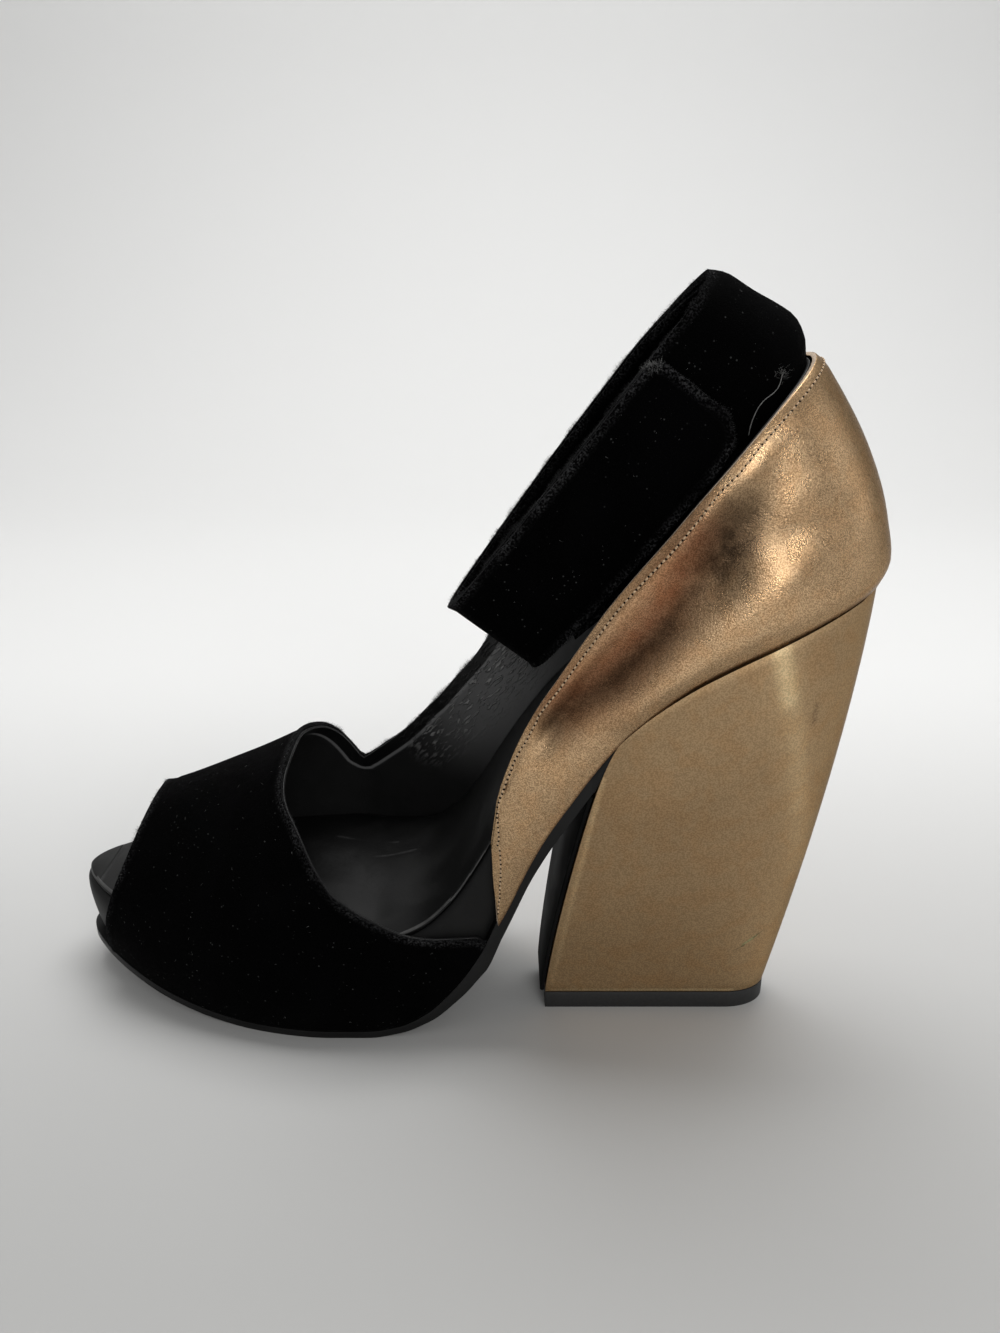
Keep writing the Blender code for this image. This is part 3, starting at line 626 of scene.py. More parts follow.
# Rubs and marks, and on the heel painted light and painted highlights: from one place of the part to another,
# width, colour and, on the bronze, how broken up
HEEL_MARKS_AND_PAINTED_LIGHT = [
    # Painted light over the heel's lower part, and a painted highlight along its lower edge
    ((28.0, -24.0, 6.0), (84.0, -24.0, 6.0), 62.0, HEEL_LOW_PAINTED_LIGHT, 0.0),
    ((28.0, -23.6, 5.9), (78.0, -23.2, 5.9), 0.7, HEEL_PAINTED_HIGHLIGHT, 0.1),
    # Painted highlights along the heel's front edge, and a painted pale band with highlights down its back
    ((28.2, -23.7, 8.5), (33.2, -29.4, 42.2), 1.2, HEEL_PAINTED_LIGHT, 0.3),
    ((33.2, -29.4, 42.2), (38.6, -35.4, 76.9), 1.2, HEEL_PAINTED_LIGHT, 0.3),
    ((78.0, -36.8, 108.0), (93.0, -22.0, 45.0), 9.0, HEEL_PAINTED_PALE_BAND, 0.2),
    ((77.4, -37.1, 110.0), (84.9, -31.9, 85.8), 4.4, HEEL_PAINTED_LIGHT, 0.2),
    ((84.9, -31.9, 85.8), (88.7, -27.8, 66.0), 3.8, HEEL_PAINTED_LIGHT, 0.3),
    ((77.4, -37.1, 110.0), (81.2, -34.6, 97.0), 3.6, HEEL_PAINTED_HIGHLIGHT, 0.1),
    # A smudge and scratches
    ((88.4, -31.6, 94.6), (88.6, -31.0, 90.0), 1.5, (0.3, 0.2, 0.115), 0.8),
    ((79.0, -25.0, 22.3), (82.4, -24.5, 24.6), 0.6, (0.4, 0.46, 0.24), 0.4),
    ((76.6, -25.0, 20.4), (79.4, -25.0, 22.0), 0.4, (0.2, 0.18, 0.1), 0.4),
    ((81.8, -24.6, 24.2), (84.4, -24.2, 26.0), 0.4, (0.24, 0.2, 0.11), 0.4),
]
SOCK_MARKS = [
    ((-36.0, 22.4, 27.3), (-17.0, 15.0, 29.8), 0.8, grey(0.03)),
    ((-22.5, 9.0, 28.3), (-11.0, 7.2, 31.7), 0.9, grey(0.026)),
    ((-34.0, 8.0, 27.2), (-20.0, -6.0, 28.8), 12.0, grey(0.011)),
]
TOE_MARKS = [
    ((-104.0, 0.0, 24.0), (-101.0, -9.0, 22.0), 1.2, grey(0.05)),
    ((-103.0, -6.0, 15.0), (-98.0, -14.0, 18.0), 0.8, grey(0.05)),
]

# Smooth leather has a roughness and a gloss, a plain finish a roughness and the size and depth of its relief
VELVET = velvet_look("velvet_pile", 1.0)
STRAP_VELVET = velvet_look("strap_pile", 1.2)
LINING = lining_look()
LINING_EDGE = plain_look("lining_edge", grey(0.01), 0.7, 1.0, 0.05, specular_ior_level=0.15)
BRONZE = bronze_look("bronze_leather_grain", BRONZE_COLOUR, grain_size=0.31, grain_depth=0.09,
                     grain_tone=0.85, roughness=0.285, marks=[])
HEEL_BRONZE = bronze_look("heel_leather", HEEL_COLOUR, grain_size=0.42, grain_depth=0.035,
                          grain_tone=0.5, roughness=0.33, marks=HEEL_MARKS_AND_PAINTED_LIGHT)
PLATFORM_LEATHER = smooth_leather_look("platform_leather", BLACK, DARK_GREY, 0.55, 0.18, TOE_MARKS)
SOCK = smooth_leather_look("sock_leather_worn", BLACK, DARK_GREY, 0.45, 0.2, SOCK_MARKS)
# A painted highlight along the insole's upper edge
SOCK_RIM_HIGHLIGHT = plain_look("sock_edge", (0.036, 0.036, 0.035), 0.4, 3.0, 0.02)
SOLE = smooth_leather_look("sole_edge_leather", grey(0.002), BLACK, 0.4, 0.25)
BREAST = smooth_leather_look("breast_leather_smooth", BLACK, DARK_GREY, 0.6, 0.02)
RUBBER = plain_look("rubber_lift", grey(0.01), 0.55, 0.8, 0.05)
RAW_EDGE = plain_look("raw_leather_edge", (0.48, 0.37, 0.27), 0.6, 0.6, 0.05)
THREAD = plain_look("stitching_thread", (0.46, 0.32, 0.19), 0.5, 0.3, 0.04)
HOLE = plain_look("stitch_hole", (0.008, 0.005, 0.003), 0.8, 0.3, 0.02, specular_ior_level=0.1)
FUZZ = plain_look("loose_pile", (0.022, 0.022, 0.0225), 0.9, 5.0, 0.01, specular_ior_level=0.1)
LINT = plain_look("lint_fibre", (0.14, 0.14, 0.135), 0.9, 1.0, 0.01)


def grid_faces(bm, grid):
    """Quads over a grid of points; grid is indexed by row and column."""
    rows = []
    for line in grid:
        rows.append([bm.verts.new(point * MM) for point in line])
    for low, high in zip(rows, rows[1:]):
        for a, b, c, d in zip(low, low[1:], high[1:], high):
            bm.faces.new((a, b, c, d))


def add_object(name, data):
    made = bpy.data.objects.new(name, data)
    bpy.context.scene.collection.objects.link(made)
    return made


def finish_piece(name, mesh, materials, slot, *replaced):
    """Add a mesh to the scene as a piece of the shoe that stands for some of the frame's nodes."""
    for material in materials:
        mesh.materials.append(material)
    piece = add_object(name, mesh)
    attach(piece, "root")
    if replaced:
        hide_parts(*replaced)
    return piece


def place(name, bm, materials, slot, *replaced):
    """Centre a mesh on the shoe's box and add it as a piece."""
    bmesh.ops.translate(bm, verts=bm.verts, vec=tuple(-CENTRE * MM))
    mesh = bpy.data.meshes.new(name)
    bm.to_mesh(mesh)
    bm.free()
    mesh.shade_smooth()
    mesh.set_sharp_from_angle(angle=SHADED_SHARP)
    return finish_piece(name, mesh, materials, slot, *replaced)


def soften(bm, edges, width, segments):
    bmesh.ops.bevel(bm, geom=edges, offset=width * MM, offset_type="OFFSET", segments=segments,
                    profile=0.5, affect="EDGES", clamp_overlap=True)


def face_out(bm):
    bmesh.ops.recalc_face_normals(bm, faces=bm.faces)
    if bm.calc_volume(signed=True) < 0:
        bmesh.ops.reverse_faces(bm, faces=bm.faces)


def block(outer, inner, edge_width):
    """A closed body between its outer and inner side grids, with its sharp edges rounded."""
    bm = bmesh.new()
    grid_faces(bm, outer)
    grid_faces(bm, inner)
    for end in (np.s_[0], np.s_[-1], np.s_[:, 0], np.s_[:, -1]):
        grid_faces(bm, np.stack([outer[end], inner[end]]))
    bmesh.ops.remove_doubles(bm, verts=bm.verts, dist=WELD)
    bmesh.ops.dissolve_degenerate(bm, edges=bm.edges, dist=WELD)
    face_out(bm)
    sharp = [edge for edge in bm.edges if edge.is_manifold and edge.calc_face_angle() > SHARP_EDGE]
    soften(bm, sharp, edge_width, EDGE_SEGMENTS)
    return bm


def shell(grids, start, wall, relief=None, folds=None, marks=None, level_foot=True):
    """A bent sheet with a real wall and a rounded rim, on grids of the last's surface.

    relief lifts the outer face and folds bend the whole wall; both are functions of the surface's
    points and their distance to the rim. marks are named functions of the points that a material
    can read.
    """
    bm = bmesh.new()
    for grid in grids:
        grid_faces(bm, grid)
    bmesh.ops.remove_doubles(bm, verts=bm.verts, dist=WELD)
    bm.normal_update()
    outward = bm.verts.layers.float_vector.new("outward")
    rim = bm.verts.layers.float.new("rim")
    marked = {name: bm.verts.layers.float.new(name) for name in marks or {}}
    lift = bm.verts.layers.float.new("lift")
    standing = bm.verts.layers.int.new("standing")
    outside = bm.verts.layers.int.new("outside")
    edge = []
    for vert in bm.verts:
        way = vert.normal.copy()
        height = vert.co.z / MM - float(base_of(vert.co.x / MM))
        if level_foot and vert.is_boundary and height < FOOT_REACH:
            vert[standing] = 1
            way.z = 0.0
        elif vert.is_boundary:
            edge.append(vert.co.copy())
        vert[outward] = way.normalized()
    tree = KDTree(len(edge))
    for i, point in enumerate(edge):
        tree.insert(point, i)
    tree.balance()
    points = np.array([vert.co for vert in bm.verts]) / MM
    to_rim = np.array([tree.find(vert.co)[2] for vert in bm.verts]) / MM
    none = np.zeros(len(points))
    lifts = relief(points, to_rim) if relief else none
    bends = folds(points, to_rim) if folds else none
    values = {name: marks[name](points) for name in marked}
    for i, vert in enumerate(bm.verts):
        vert[rim], vert[lift] = to_rim[i], lifts[i]
        for name, layer in marked.items():
            vert[layer] = values[name][i]
        vert.co += vert[outward] * (start + bends[i]) * MM
    made = bmesh.ops.extrude_face_region(bm, geom=bm.faces[:], use_keep_orig=True)
    for part in made["geom"]:
        if isinstance(part, bmesh.types.BMVert):
            part[outside] = 1
            part.co += part[outward] * (wall + part[lift]) * MM
    for vert in bm.verts:
        if vert[standing]:
            vert.co.z = float(base_of(vert.co.x / MM)) * MM
    for face in bm.faces:
        sides = {vert[outside] for vert in face.verts}
        whole = OUTER_FACE if 1 in sides else INNER_FACE
        face.material_index = RIM_FACE if len(sides) == 2 else whole
    face_out(bm)
    corners = [item for item in bm.edges
               if len({face.material_index == RIM_FACE for face in item.link_faces}) == 2]
    soften(bm, corners, RIM_ROUND * wall, RIM_SEGMENTS)
    for layer in (standing, outside):
        bm.verts.layers.int.remove(layer)
    return bm


def sides_at(xs, rise, amount):
    """The last's outer and inner sides at a height above the lower edge, moved outwards in plan."""
    path = np.concatenate([last(xs, rise, 1)[::-1], last(xs, rise, -1)[1:]])
    moved = spread(path, amount)
    return moved[len(xs) - 1:], moved[:len(xs)][::-1]


def underside(x):
    """Height of the outsole's lower face; the sole is thicker under the waist."""
    slope = (base_of(x + SLOPE_STEP) - base_of(x - SLOPE_STEP)) / (2 * SLOPE_STEP)
    waist = ease((x - WAIST_SOLE_START) / (WAIST_SOLE_FULL - WAIST_SOLE_START))
    thick = OUTSOLE + (WAIST_SOLE - OUTSOLE) * waist
    return base_of(x) - GAP - thick * np.sqrt(1 + slope**2)


def make_outsole():
    xs = ALL_XS[ALL_XS < BREAST_X - SOLE_SLANT]
    xs = np.append(xs, BREAST_X - SOLE_END)
    sides = []
    for edge in sides_at(xs, 0.0, OUTSOLE_SPREAD):
        top = edge.copy()
        top[:, 2] = base_of(edge[:, 0]) - GAP
        bottom = edge.copy()
        bottom[-1, 0] -= SOLE_SLANT
        bottom[:, 2] = underside(bottom[:, 0])
        sides.append(np.stack([bottom, top]))
    place("outsole_leather", block(*sides, OUTSOLE_ROUND), [SOLE], "sole_leather", "outsole")


def sole_layer(edge, count, rises, inset):
    """The outer and inner sides of a layer of the sole, drawn in level by level along a rounded edge."""
    levels = np.linspace(0.0, 1.0, count + 1)
    pairs = []
    for level, more in zip(levels, smooth(edge, "level", "inset")(levels)):
        pairs.append(sides_at(ALL_XS, rises(level), -inset - more))
    return [np.array(side) for side in zip(*pairs)]


def make_platform():
    top = bed_of(ALL_XS) - INSOLE - GAP - base_of(ALL_XS)
    sides = sole_layer(PLATFORM_EDGE, PLATFORM_LEVELS, lambda level: top * level, 0.0)
    place("platform_cover", block(*sides, PLATFORM_ROUND), [PLATFORM_LEATHER], "black_leather", "platform")


def make_insole():
    low = bed_of(ALL_XS) - INSOLE - base_of(ALL_XS)
    sides = sole_layer(INSOLE_EDGE, INSOLE_LEVELS, lambda level: low + level * INSOLE, INSOLE_INSET + GAP)
    bm = block(*sides, INSOLE_ROUND)
    # The insole's upper edge band takes the painted highlight
    for face in bm.faces:
        centre = face.calc_center_median() / MM
        height = centre.z - float(bed_of(centre.x)) + INSOLE
        face.material_index = int(SOCK_RIM_HIGHLIGHT_LOW < height < SOCK_RIM_HIGHLIGHT_HIGH)
    place("insole_sock", bm, [SOCK, SOCK_RIM_HIGHLIGHT], "sock_leather", "insole")


def vamp_row(share, side, end):
    """Points of the vamp at one share of the height, from the peep toe to the throat."""
    t = np.linspace(0.0, 1.0, VAMP_STEPS + 1)
    eased = 0.5 - 0.5 * np.cos(np.pi * t)
    crowded = 0.5 * t + 0.5 * eased
    xs = peep_of(share) + (end - peep_of(share)) * crowded
    return last(xs, share * (instep_of(xs) - base_of(xs)), side)


def vamp_grid():
    throat = split((1.0, *THROAT_SHARES, NOTCH_SHARE), ROW_SPLIT)[1:-1]
    rows = [vamp_row(share, -1, outer_throat_of(share)) for share in split(OUTER_SHARES, ROW_SPLIT)]
    rows += [vamp_row(share, 1, inner_throat_of(share)) for share in throat]
    rows += [vamp_row(share, 1, NOTCH_X) for share in split(INNER_SHARES, ROW_SPLIT)]
    return np.array(rows)


def wrapped(inner, outer, levels):
    """Rows along the inner side and back along the outer; each side has its stations and their heights."""
    rows = []
    for level in levels:
        sides = [last(xs, tops * level, side) for xs, tops, side in ((*inner, 1), (*outer, -1))]
        rows.append(np.concatenate(sides))
    return np.array(rows)


def quarter_grid(inner_end, outer_start, extra):
    """The closed inner side, and round the heel along the outer side where outer_start is given."""
    inner_xs = ALL_XS[(ALL_XS > NOTCH_X + SHORTEST_STEP) & (ALL_XS <= inner_end)]
    inner_xs = np.append(NOTCH_X, inner_xs)
    inner_top = smooth(UPPER_TOP, "x", "inner")(inner_xs) + extra
    inner_top[0] = NOTCH_SHARE * (instep_of(NOTCH_X) - base_of(NOTCH_X))
    outer_xs = np.empty(0)
    if outer_start is not None:
        outer_xs = np.append(ALL_XS[ALL_XS > outer_start + SHORTEST_STEP][::-1], outer_start)[1:]
    outer_top = smooth(UPPER_TOP, "x", "outer")(outer_xs) + extra
    levels = split(INNER_SHARES, ROW_SPLIT) / NOTCH_SHARE
    return wrapped((inner_xs, inner_top), (outer_xs, outer_top), levels)


def rolled_rim(points, to_rim):
    """The velvet is folded over the edge: a soft roll along the rim and a shallow line behind it."""
    roll = RIM_ROLL * ease(1 - to_rim / RIM_ROLL_REACH)
    return roll - RIM_LINE * np.exp(-((to_rim - RIM_LINE_AT) / RIM_LINE_WIDTH) ** 2)


def make_upper():
    vamp = vamp_grid()
    outer_start = GAP + UPPER_LINING + LAYER_GAP
    velvet = shell([vamp, quarter_grid(VELVET_END_X, None, 0.0)], outer_start, UPPER_WALL + GAP - outer_start,
                   relief=rolled_rim)
    upper = place("upper_velvet", velvet, [VELVET, VELVET, VELVET], "velvet", "upper")
    lining = shell([vamp, quarter_grid(HEEL_X, LINING_FRONT_X, LINING_RISE)], GAP, UPPER_LINING)
    place("upper_lining", lining, [LINING, LINING_EDGE, LINING], "velvet")
    return upper


def pressed_edge(points, to_rim):
    """The counter's edge is pressed down along the stitches."""
    return -EDGE_PRESS * np.exp(-((to_rim - STITCH_INSET) / EDGE_PRESS_WIDTH) ** 2)


def along_line(points, row):
    """1 on a row's line of straight stretches, seen from the side, falling to 0 over its width."""
    nearest = np.full(len(points), np.inf)
    line = np.array(row.line)
    for start, end in zip(line, line[1:]):
        run = end - start
        away = points[:, [0, 2]] - start
        t = np.clip(away @ run / (run @ run), 0.0, 1.0)
        nearest = np.minimum(nearest, np.linalg.norm(away - t[:, None] * run, axis=1))
    return np.exp(-((nearest / row.width) ** 2))


def counter_folds(points, to_rim):
    """Soft folds in the counter, deepest on the outer side and none at its edge, its rim and its foot."""
    outer = points[:, 1] < 0
    share = np.where(outer, 1.0, INNER_FOLDS)
    lift = sum(fold.depth * along_line(points, fold) for fold in COUNTER_FOLDS)
    lift *= share * ease((to_rim - FOLD_START) / FOLD_RUN)
    bare = np.where(outer, 1.0, ease((points[:, 0] - RIM_PULL_START) / RIM_PULL_REACH))
    pull = RIM_PULL * bare * ease(1 - to_rim / RIM_PULL_REACH)
    rise = points[:, 2] - base_of(points[:, 0])
    roll = FOOT_ROLL * ease(1 - rise / FOOT_ROLL_HEIGHT) + FOOT_TUCK * ease(1 - rise / FOOT_TUCK_HEIGHT)
    roll -= BULGE * np.exp(-(((rise - BULGE_HEIGHT) / BULGE_WIDTH) ** 2))
    return lift - pull - share * roll * ease((points[:, 0] - FOOT_ROLL_START) / FOOT_ROLL_RUN)


def tone_marks(tones):
    """A function of points that is strong along some lines on the counter's outer side and, as painted shade,
    along its foot.
    """
    def marks(points):
        rise = points[:, 2] - base_of(points[:, 0])
        mark = FOOT_SHADE * ease(1 - rise / FOOT_SHADE_HEIGHT)
        for tone in tones:
            mark = np.maximum(mark, tone.strength * along_line(points, tone))
        return np.where(points[:, 1] < 0, mark, INNER_FOLDS * mark)

    return marks


def counter_grid():
    back = ALL_XS[ALL_XS > COUNTER_FRONT_X + SHORTEST_STEP]
    inner_xs = np.append(COUNTER_FRONT_X, back)
    outer_xs = inner_xs[::-1][1:]
    inner_top = smooth(COUNTER_TOP, "x", "inner")(inner_xs)
    outer_top = smooth(COUNTER_TOP, "x", "outer")(outer_xs)
    levels = np.linspace(1.0, 0.0, COUNTER_ROWS + 1)
    return wrapped((inner_xs, inner_top), (outer_xs, outer_top), levels)


def make_counter():
    # Reddish wear with painted shade, and painted shade in the trough; both also carry painted shade along
    # the foot
    marks = {"wear_and_shade": tone_marks(COUNTER_WEAR_AND_SHADE), "shade": tone_marks(COUNTER_SHADE)}
    bm = shell([counter_grid()], GAP + UPPER_WALL + GAP, COUNTER_WALL, pressed_edge, counter_folds, marks)
    return place("counter_bronze", bm, [BRONZE, RAW_EDGE, LINING], "bronze_leather", "counter")


def inset_line(grid, normals, inset):
    """The line a distance below a grid's first row, measured down each column: points and normals."""
    steps = np.linalg.norm(np.diff(grid, axis=0), axis=2)
    depth = np.concatenate([np.zeros((1, grid.shape[1])), np.cumsum(steps, axis=0)])
    both = np.concatenate([grid, normals], axis=2)
    line = []
    for column in range(grid.shape[1]):
        place_on = np.interp(inset, depth[:, column], np.arange(grid.shape[0]))
        low = int(place_on)
        t = place_on - low
        line.append((1 - t) * both[low, column] + t * both[low + 1, column])
    return np.array(line)


def even_steps(line, step):
    """A line's points and normals, read again at even steps."""
    steps = np.linalg.norm(np.diff(line[:, :3], axis=0), axis=1)
    run = np.concatenate([[0.0], np.cumsum(steps)])
    places = np.arange(0.5 * step, run[-1], step)
    read = np.stack([np.interp(places, run, column) for column in line.T], axis=1)
    return read[:, :3], read[:, 3:]


def array_piece(name, verts, faces, material, slot):
    """A piece from arrays of its points and of its faces' corners."""
    mesh = bpy.data.meshes.new(name)
    mesh.from_pydata(((verts - CENTRE) * MM).tolist(), [], faces.tolist())
    mesh.shade_smooth()
    finish_piece(name, mesh, [material], slot)


def copies(faces, count, size):
    """The faces of one body repeated for a number of bodies that have so many points each."""
    first = np.arange(count)[:, None, None] * size
    return (first + faces).reshape(-1, faces.shape[1])


# The counter's stitches and the holes between them; a row of a profile is a place along the body, a
# share of its radius and a height
STITCH_PITCH = 1.3
STITCH_LENGTH = 0.95
STITCH_RADIUS = 0.22
STITCH_INSET = 1.2
STITCH_SIDES = 6
STITCH_FOOT = 1.2
STITCH_FRONT_STEPS = 24
STITCH_PROFILE = [
    (-0.5, 0.35, -0.1), (-0.3, 1.0, 0.04), (0.0, 1.1, 0.1), (0.3, 1.0, 0.04), (0.5, 0.35, -0.1),
]
HOLE_LENGTH = 0.6
HOLE_RADIUS = 0.32
HOLE_PROFILE = [(-0.5, 0.4, -0.16), (-0.2, 1.0, -0.16), (0.2, 1.0, -0.16), (0.5, 0.4, -0.16)]
OUTSIDE = 6.0


def on_surface(piece, points):
    """The nearest places on a piece's surface and the normals there."""
    mesh = piece.data
    faces = [face.vertices for face in mesh.polygons]
    tree = BVHTree.FromPolygons([vert.co for vert in mesh.vertices], faces)
    found = [tree.find_nearest(Vector((point - CENTRE) * MM)) for point in points]
    places = np.array([hit[0] for hit in found]) / MM + CENTRE
    return places, np.array([hit[1] for hit in found])


def rings(points, ways, profile, sides, length, radius):
    """Points of the rings that a profile has at each point of a line."""
    along = unit(np.gradient(points, axis=0))
    across = np.cross(ways, along)
    found = []
    for reach, width, height in profile:
        centre = points + along * reach * length + ways * height
        for turn in np.linspace(0.0, 2 * np.pi, sides, endpoint=False):
            found.append(centre + (across * np.cos(turn) + ways * np.sin(turn)) * width * radius)
    return np.stack(found, axis=1).reshape(-1, 3)


def tube_faces(count, sides):
    """Quads between each ring of a tube and the next."""
    faces = []
    for ring in range(count - 1):
        for k in range(sides):
            a = ring * sides + k
            b = ring * sides + (k + 1) % sides
            faces.append((a, b, b + sides, a + sides))
    return np.array(faces)


def beads(name, points, ways, length, radius, profile, material):
    """Small slim bodies along a line, all of one profile, as one joined mesh."""
    verts = rings(points, ways, profile, STITCH_SIDES, length, radius)
    faces = copies(tube_faces(len(profile), STITCH_SIDES), len(points), len(profile) * STITCH_SIDES)
    array_piece(name, verts, faces, material, "bronze_leather")


def stitch_line():
    """The line of stitches inside the counter's front and top edges: points and ways outwards."""
    grid = counter_grid()
    normals = unit(np.cross(np.gradient(grid, axis=1), np.gradient(grid, axis=0)))
    outward = np.sign(np.sum(normals * (grid - grid.mean(axis=(0, 1))), axis=2).mean())
    line = inset_line(grid, normals * outward, STITCH_INSET)
    front = COUNTER_FRONT_X + STITCH_INSET
    ends = []
    for name, side in (("inner", 1), ("outer", -1)):
        top = float(smooth(COUNTER_TOP, "x", name)(front)) - STITCH_INSET
        points = last(front, np.linspace(STITCH_FOOT, top, STITCH_FRONT_STEPS), side)
        ends.append(np.concatenate([points, np.tile((0.0, side, 0.0), (len(points), 1))], axis=1))
    return np.concatenate([ends[0], line[line[:, 0] > front], ends[1][::-1]])


def make_stitches(counter):
    """A row of stitches along the counter's edge, with a dark hole between each two."""
    points, ways = even_steps(stitch_line(), STITCH_PITCH / 2)
    points, ways = on_surface(counter, points + OUTSIDE * ways)
    beads("counter_stitches", points[::2], ways[::2], STITCH_LENGTH, STITCH_RADIUS, STITCH_PROFILE, THREAD)
    beads("counter_holes", points[1::2], ways[1::2], HOLE_LENGTH, HOLE_RADIUS, HOLE_PROFILE, HOLE)


def heel_plan():
    """Stations of the heel from front to back: share of its length and share of its round end."""
    flat = np.zeros(HEEL_SIDE_STEPS)
    turn = np.linspace(0.0, np.pi / 2, HEEL_ROUND_STEPS + 1)
    along = np.concatenate([np.linspace(0.0, 1.0, HEEL_SIDE_STEPS, endpoint=False), np.ones_like(turn)])
    return along, np.concatenate([flat, turn])


def heel_foot():
    """The heel's outline on the floor, outer side, from its front corner to the middle of its back."""
    along, turn = heel_plan()
    straight = HEEL_FOOT_BACK - HEEL_FOOT_ROUND - HEEL_FOOT_FRONT
    x = HEEL_FOOT_FRONT + straight * along + HEEL_FOOT_ROUND * np.sin(turn)
    return x, HEEL_FOOT_HALF * np.cos(turn)


def heel_seat(side):
    """The heel's outline under the seat, from its front corner to the middle of its back."""
    along, turn = heel_plan()
    x = BREAST_X + (SEAT_X - BREAST_X) * along + (HEEL_X - SEAT_X) * np.sin(turn)
    path = np.concatenate([last(x, 0.0, -1), last(x, 0.0, 1)[::-1][1:]])
    moved = spread(path, SEAT_SPREAD)
    half = moved[:len(x)] if side < 0 else moved[len(x) - 1:][::-1]
    return half, base_of(half[:, 0]) - GAP


def heel_side(side, levels):
    foot_x, foot_half = heel_foot()
    seat, seat_z = heel_seat(side)
    share = (foot_x - HEEL_FOOT_FRONT) / (HEEL_FOOT_BACK - HEEL_FOOT_FRONT)
    corner = HEEL_CORNER / (BREAST_X - HEEL_FOOT_FRONT)
    rows = []
    for t in levels:
        front = (1 - corner) * t**HEEL_FRONT_CURVE + corner * t**HEEL_CORNER_TURN
        forward = front * (1 - share) + (1 - (1 - t) ** HEEL_BACK_CURVE) * share
        x = foot_x + (seat[:, 0] - foot_x) * forward
        y = side * foot_half + (seat[:, 1] - side * foot_half) * t
        z = TOP_PIECE + GAP + (seat_z - TOP_PIECE - GAP) * t
        rows.append(np.stack([x, y, z], axis=1))
    return np.array(rows)


def make_heel():
    levels = np.linspace(0.0, 1.0, HEEL_LEVELS + 1)
    bm = block(heel_side(-1, levels), heel_side(1, levels), HEEL_ROUND)
    place("heel_cover", bm, [HEEL_BRONZE], "heel_bronze", "heel")


def make_top_piece():
    x, half = heel_foot()
    sides = []
    for side in (-1, 1):
        rows = [np.stack([x, side * half, np.full_like(x, z)], axis=1) for z in (0.0, TOP_PIECE)]
        sides.append(np.array(rows))
    place("top_lift", block(*sides, BLACK_EDGE_ROUND), [RUBBER], "black_rubber", "top_piece")


def make_breast():
    levels = np.linspace(0.0, BREAST_TOP, HEEL_LEVELS + 1)
    sides = []
    for side in (-1, 1):
        face = heel_side(side, levels)[:, 0] - (GAP, side * GAP, 0.0)
        sides.append(np.stack([face - (BREAST_PANEL, 0.0, 0.0), face], axis=1))
    place("breast_panel", block(*sides, BLACK_EDGE_ROUND), [BREAST], "breast_leather", "heel_breast")


def strap_path():
    """The strap's loop as a dense curve: distance run, and the columns of its table there."""
    knot = namedtuple("Knot", "place along side drop")
    knots = [knot(i, *row) for i, row in enumerate(STRAP_LOOP)]
    place_on = np.linspace(0, len(knots) - 1, STRAP_DENSE * len(knots))
    columns = [smooth(knots, "place", name)(place_on) for name in ("along", "side", "drop")]
    steps = np.hypot(np.diff(columns[0]), np.diff(columns[1]))
    return np.concatenate([[0.0], np.cumsum(steps)]), columns


def flap_cut(share):
    """How much the flap's round corners take off its end, at a share of its width."""
    corner = FLAP_LOW_CORNER if share < 0.5 else FLAP_TOP_CORNER
    inside = max(corner - STRAP_WIDTH * min(share, 1 - share), 0.0)
    return corner - math.sqrt(corner**2 - inside**2)


def strap_row(share, margin, bent):
    """Points along the band at a share of its width, or along its bent lower edge, drawn in by a margin."""
    run, columns = strap_path()
    even = np.linspace(0.0, run[-1] - flap_cut(share) - margin, STRAP_STEPS + 1)
    along, side, drop = (np.interp(even, run, column) for column in columns)
    if bent:
        away = np.maximum(drop - margin, LAYER_GAP)[:, None] * STRAP_DROP
    else:
        fold = ease(1 - along / BULGE_REACH)
        away = (margin + share * (STRAP_WIDTH - STRAP_CROWN * fold - 2 * margin))[:, None] * STRAP_RISE
        along = along - bulge_of(share) * fold
    row = STRAP_BACK + along[:, None] * STRAP_FALL + away
    row[:, 1] = side
    return row


def strap_grid(margin):
    """The band from its bent lower edge to its upper edge, drawn in by a margin, with a round flap end."""
    shares = 0.5 - 0.5 * np.cos(np.linspace(0.0, np.pi, STRAP_ROWS + 1))
    rows = [strap_row(0.0, margin, True)]
    rows += [strap_row(share, margin, False) for share in shares]
    return np.array(rows)


def make_strap():
    half = STRAP_WALL / 2
    face_start = -half + STRAP_LINING + LAYER_GAP
    face = shell([strap_grid(0.0)], face_start, half - face_start, relief=rolled_rim, level_foot=False)
    strap = place("strap_velvet_face", face, [STRAP_VELVET] * 3, "strap_velvet", "ankle_strap")
    lining = shell([strap_grid(STRAP_LINING_INSET)], -half, STRAP_LINING, level_foot=False)
    place("strap_inner_face", lining, [STRAP_VELVET] * 3, "strap_velvet")
    return strap


# Loose pile at the rims and lint on the velvet
FIBRE_WIDTH = 0.07
NEAR_UPRIGHT = 0.9
FUZZ_LEAN = 0.45
FUZZ_SHORTEST = 0.3
CLUMP_PITCH = 0.5
CLUMP_MEAN = 0.8
CLUMP_SWING = 0.35
CLUMP_RANGE = (0.25, 1.7)
LINT_RISE = 0.25
LINT_LIFT = 0.05
LINT_SHORTEST = 0.2
LINT_SPREAD = 0.9
LINT_RARITY = 3


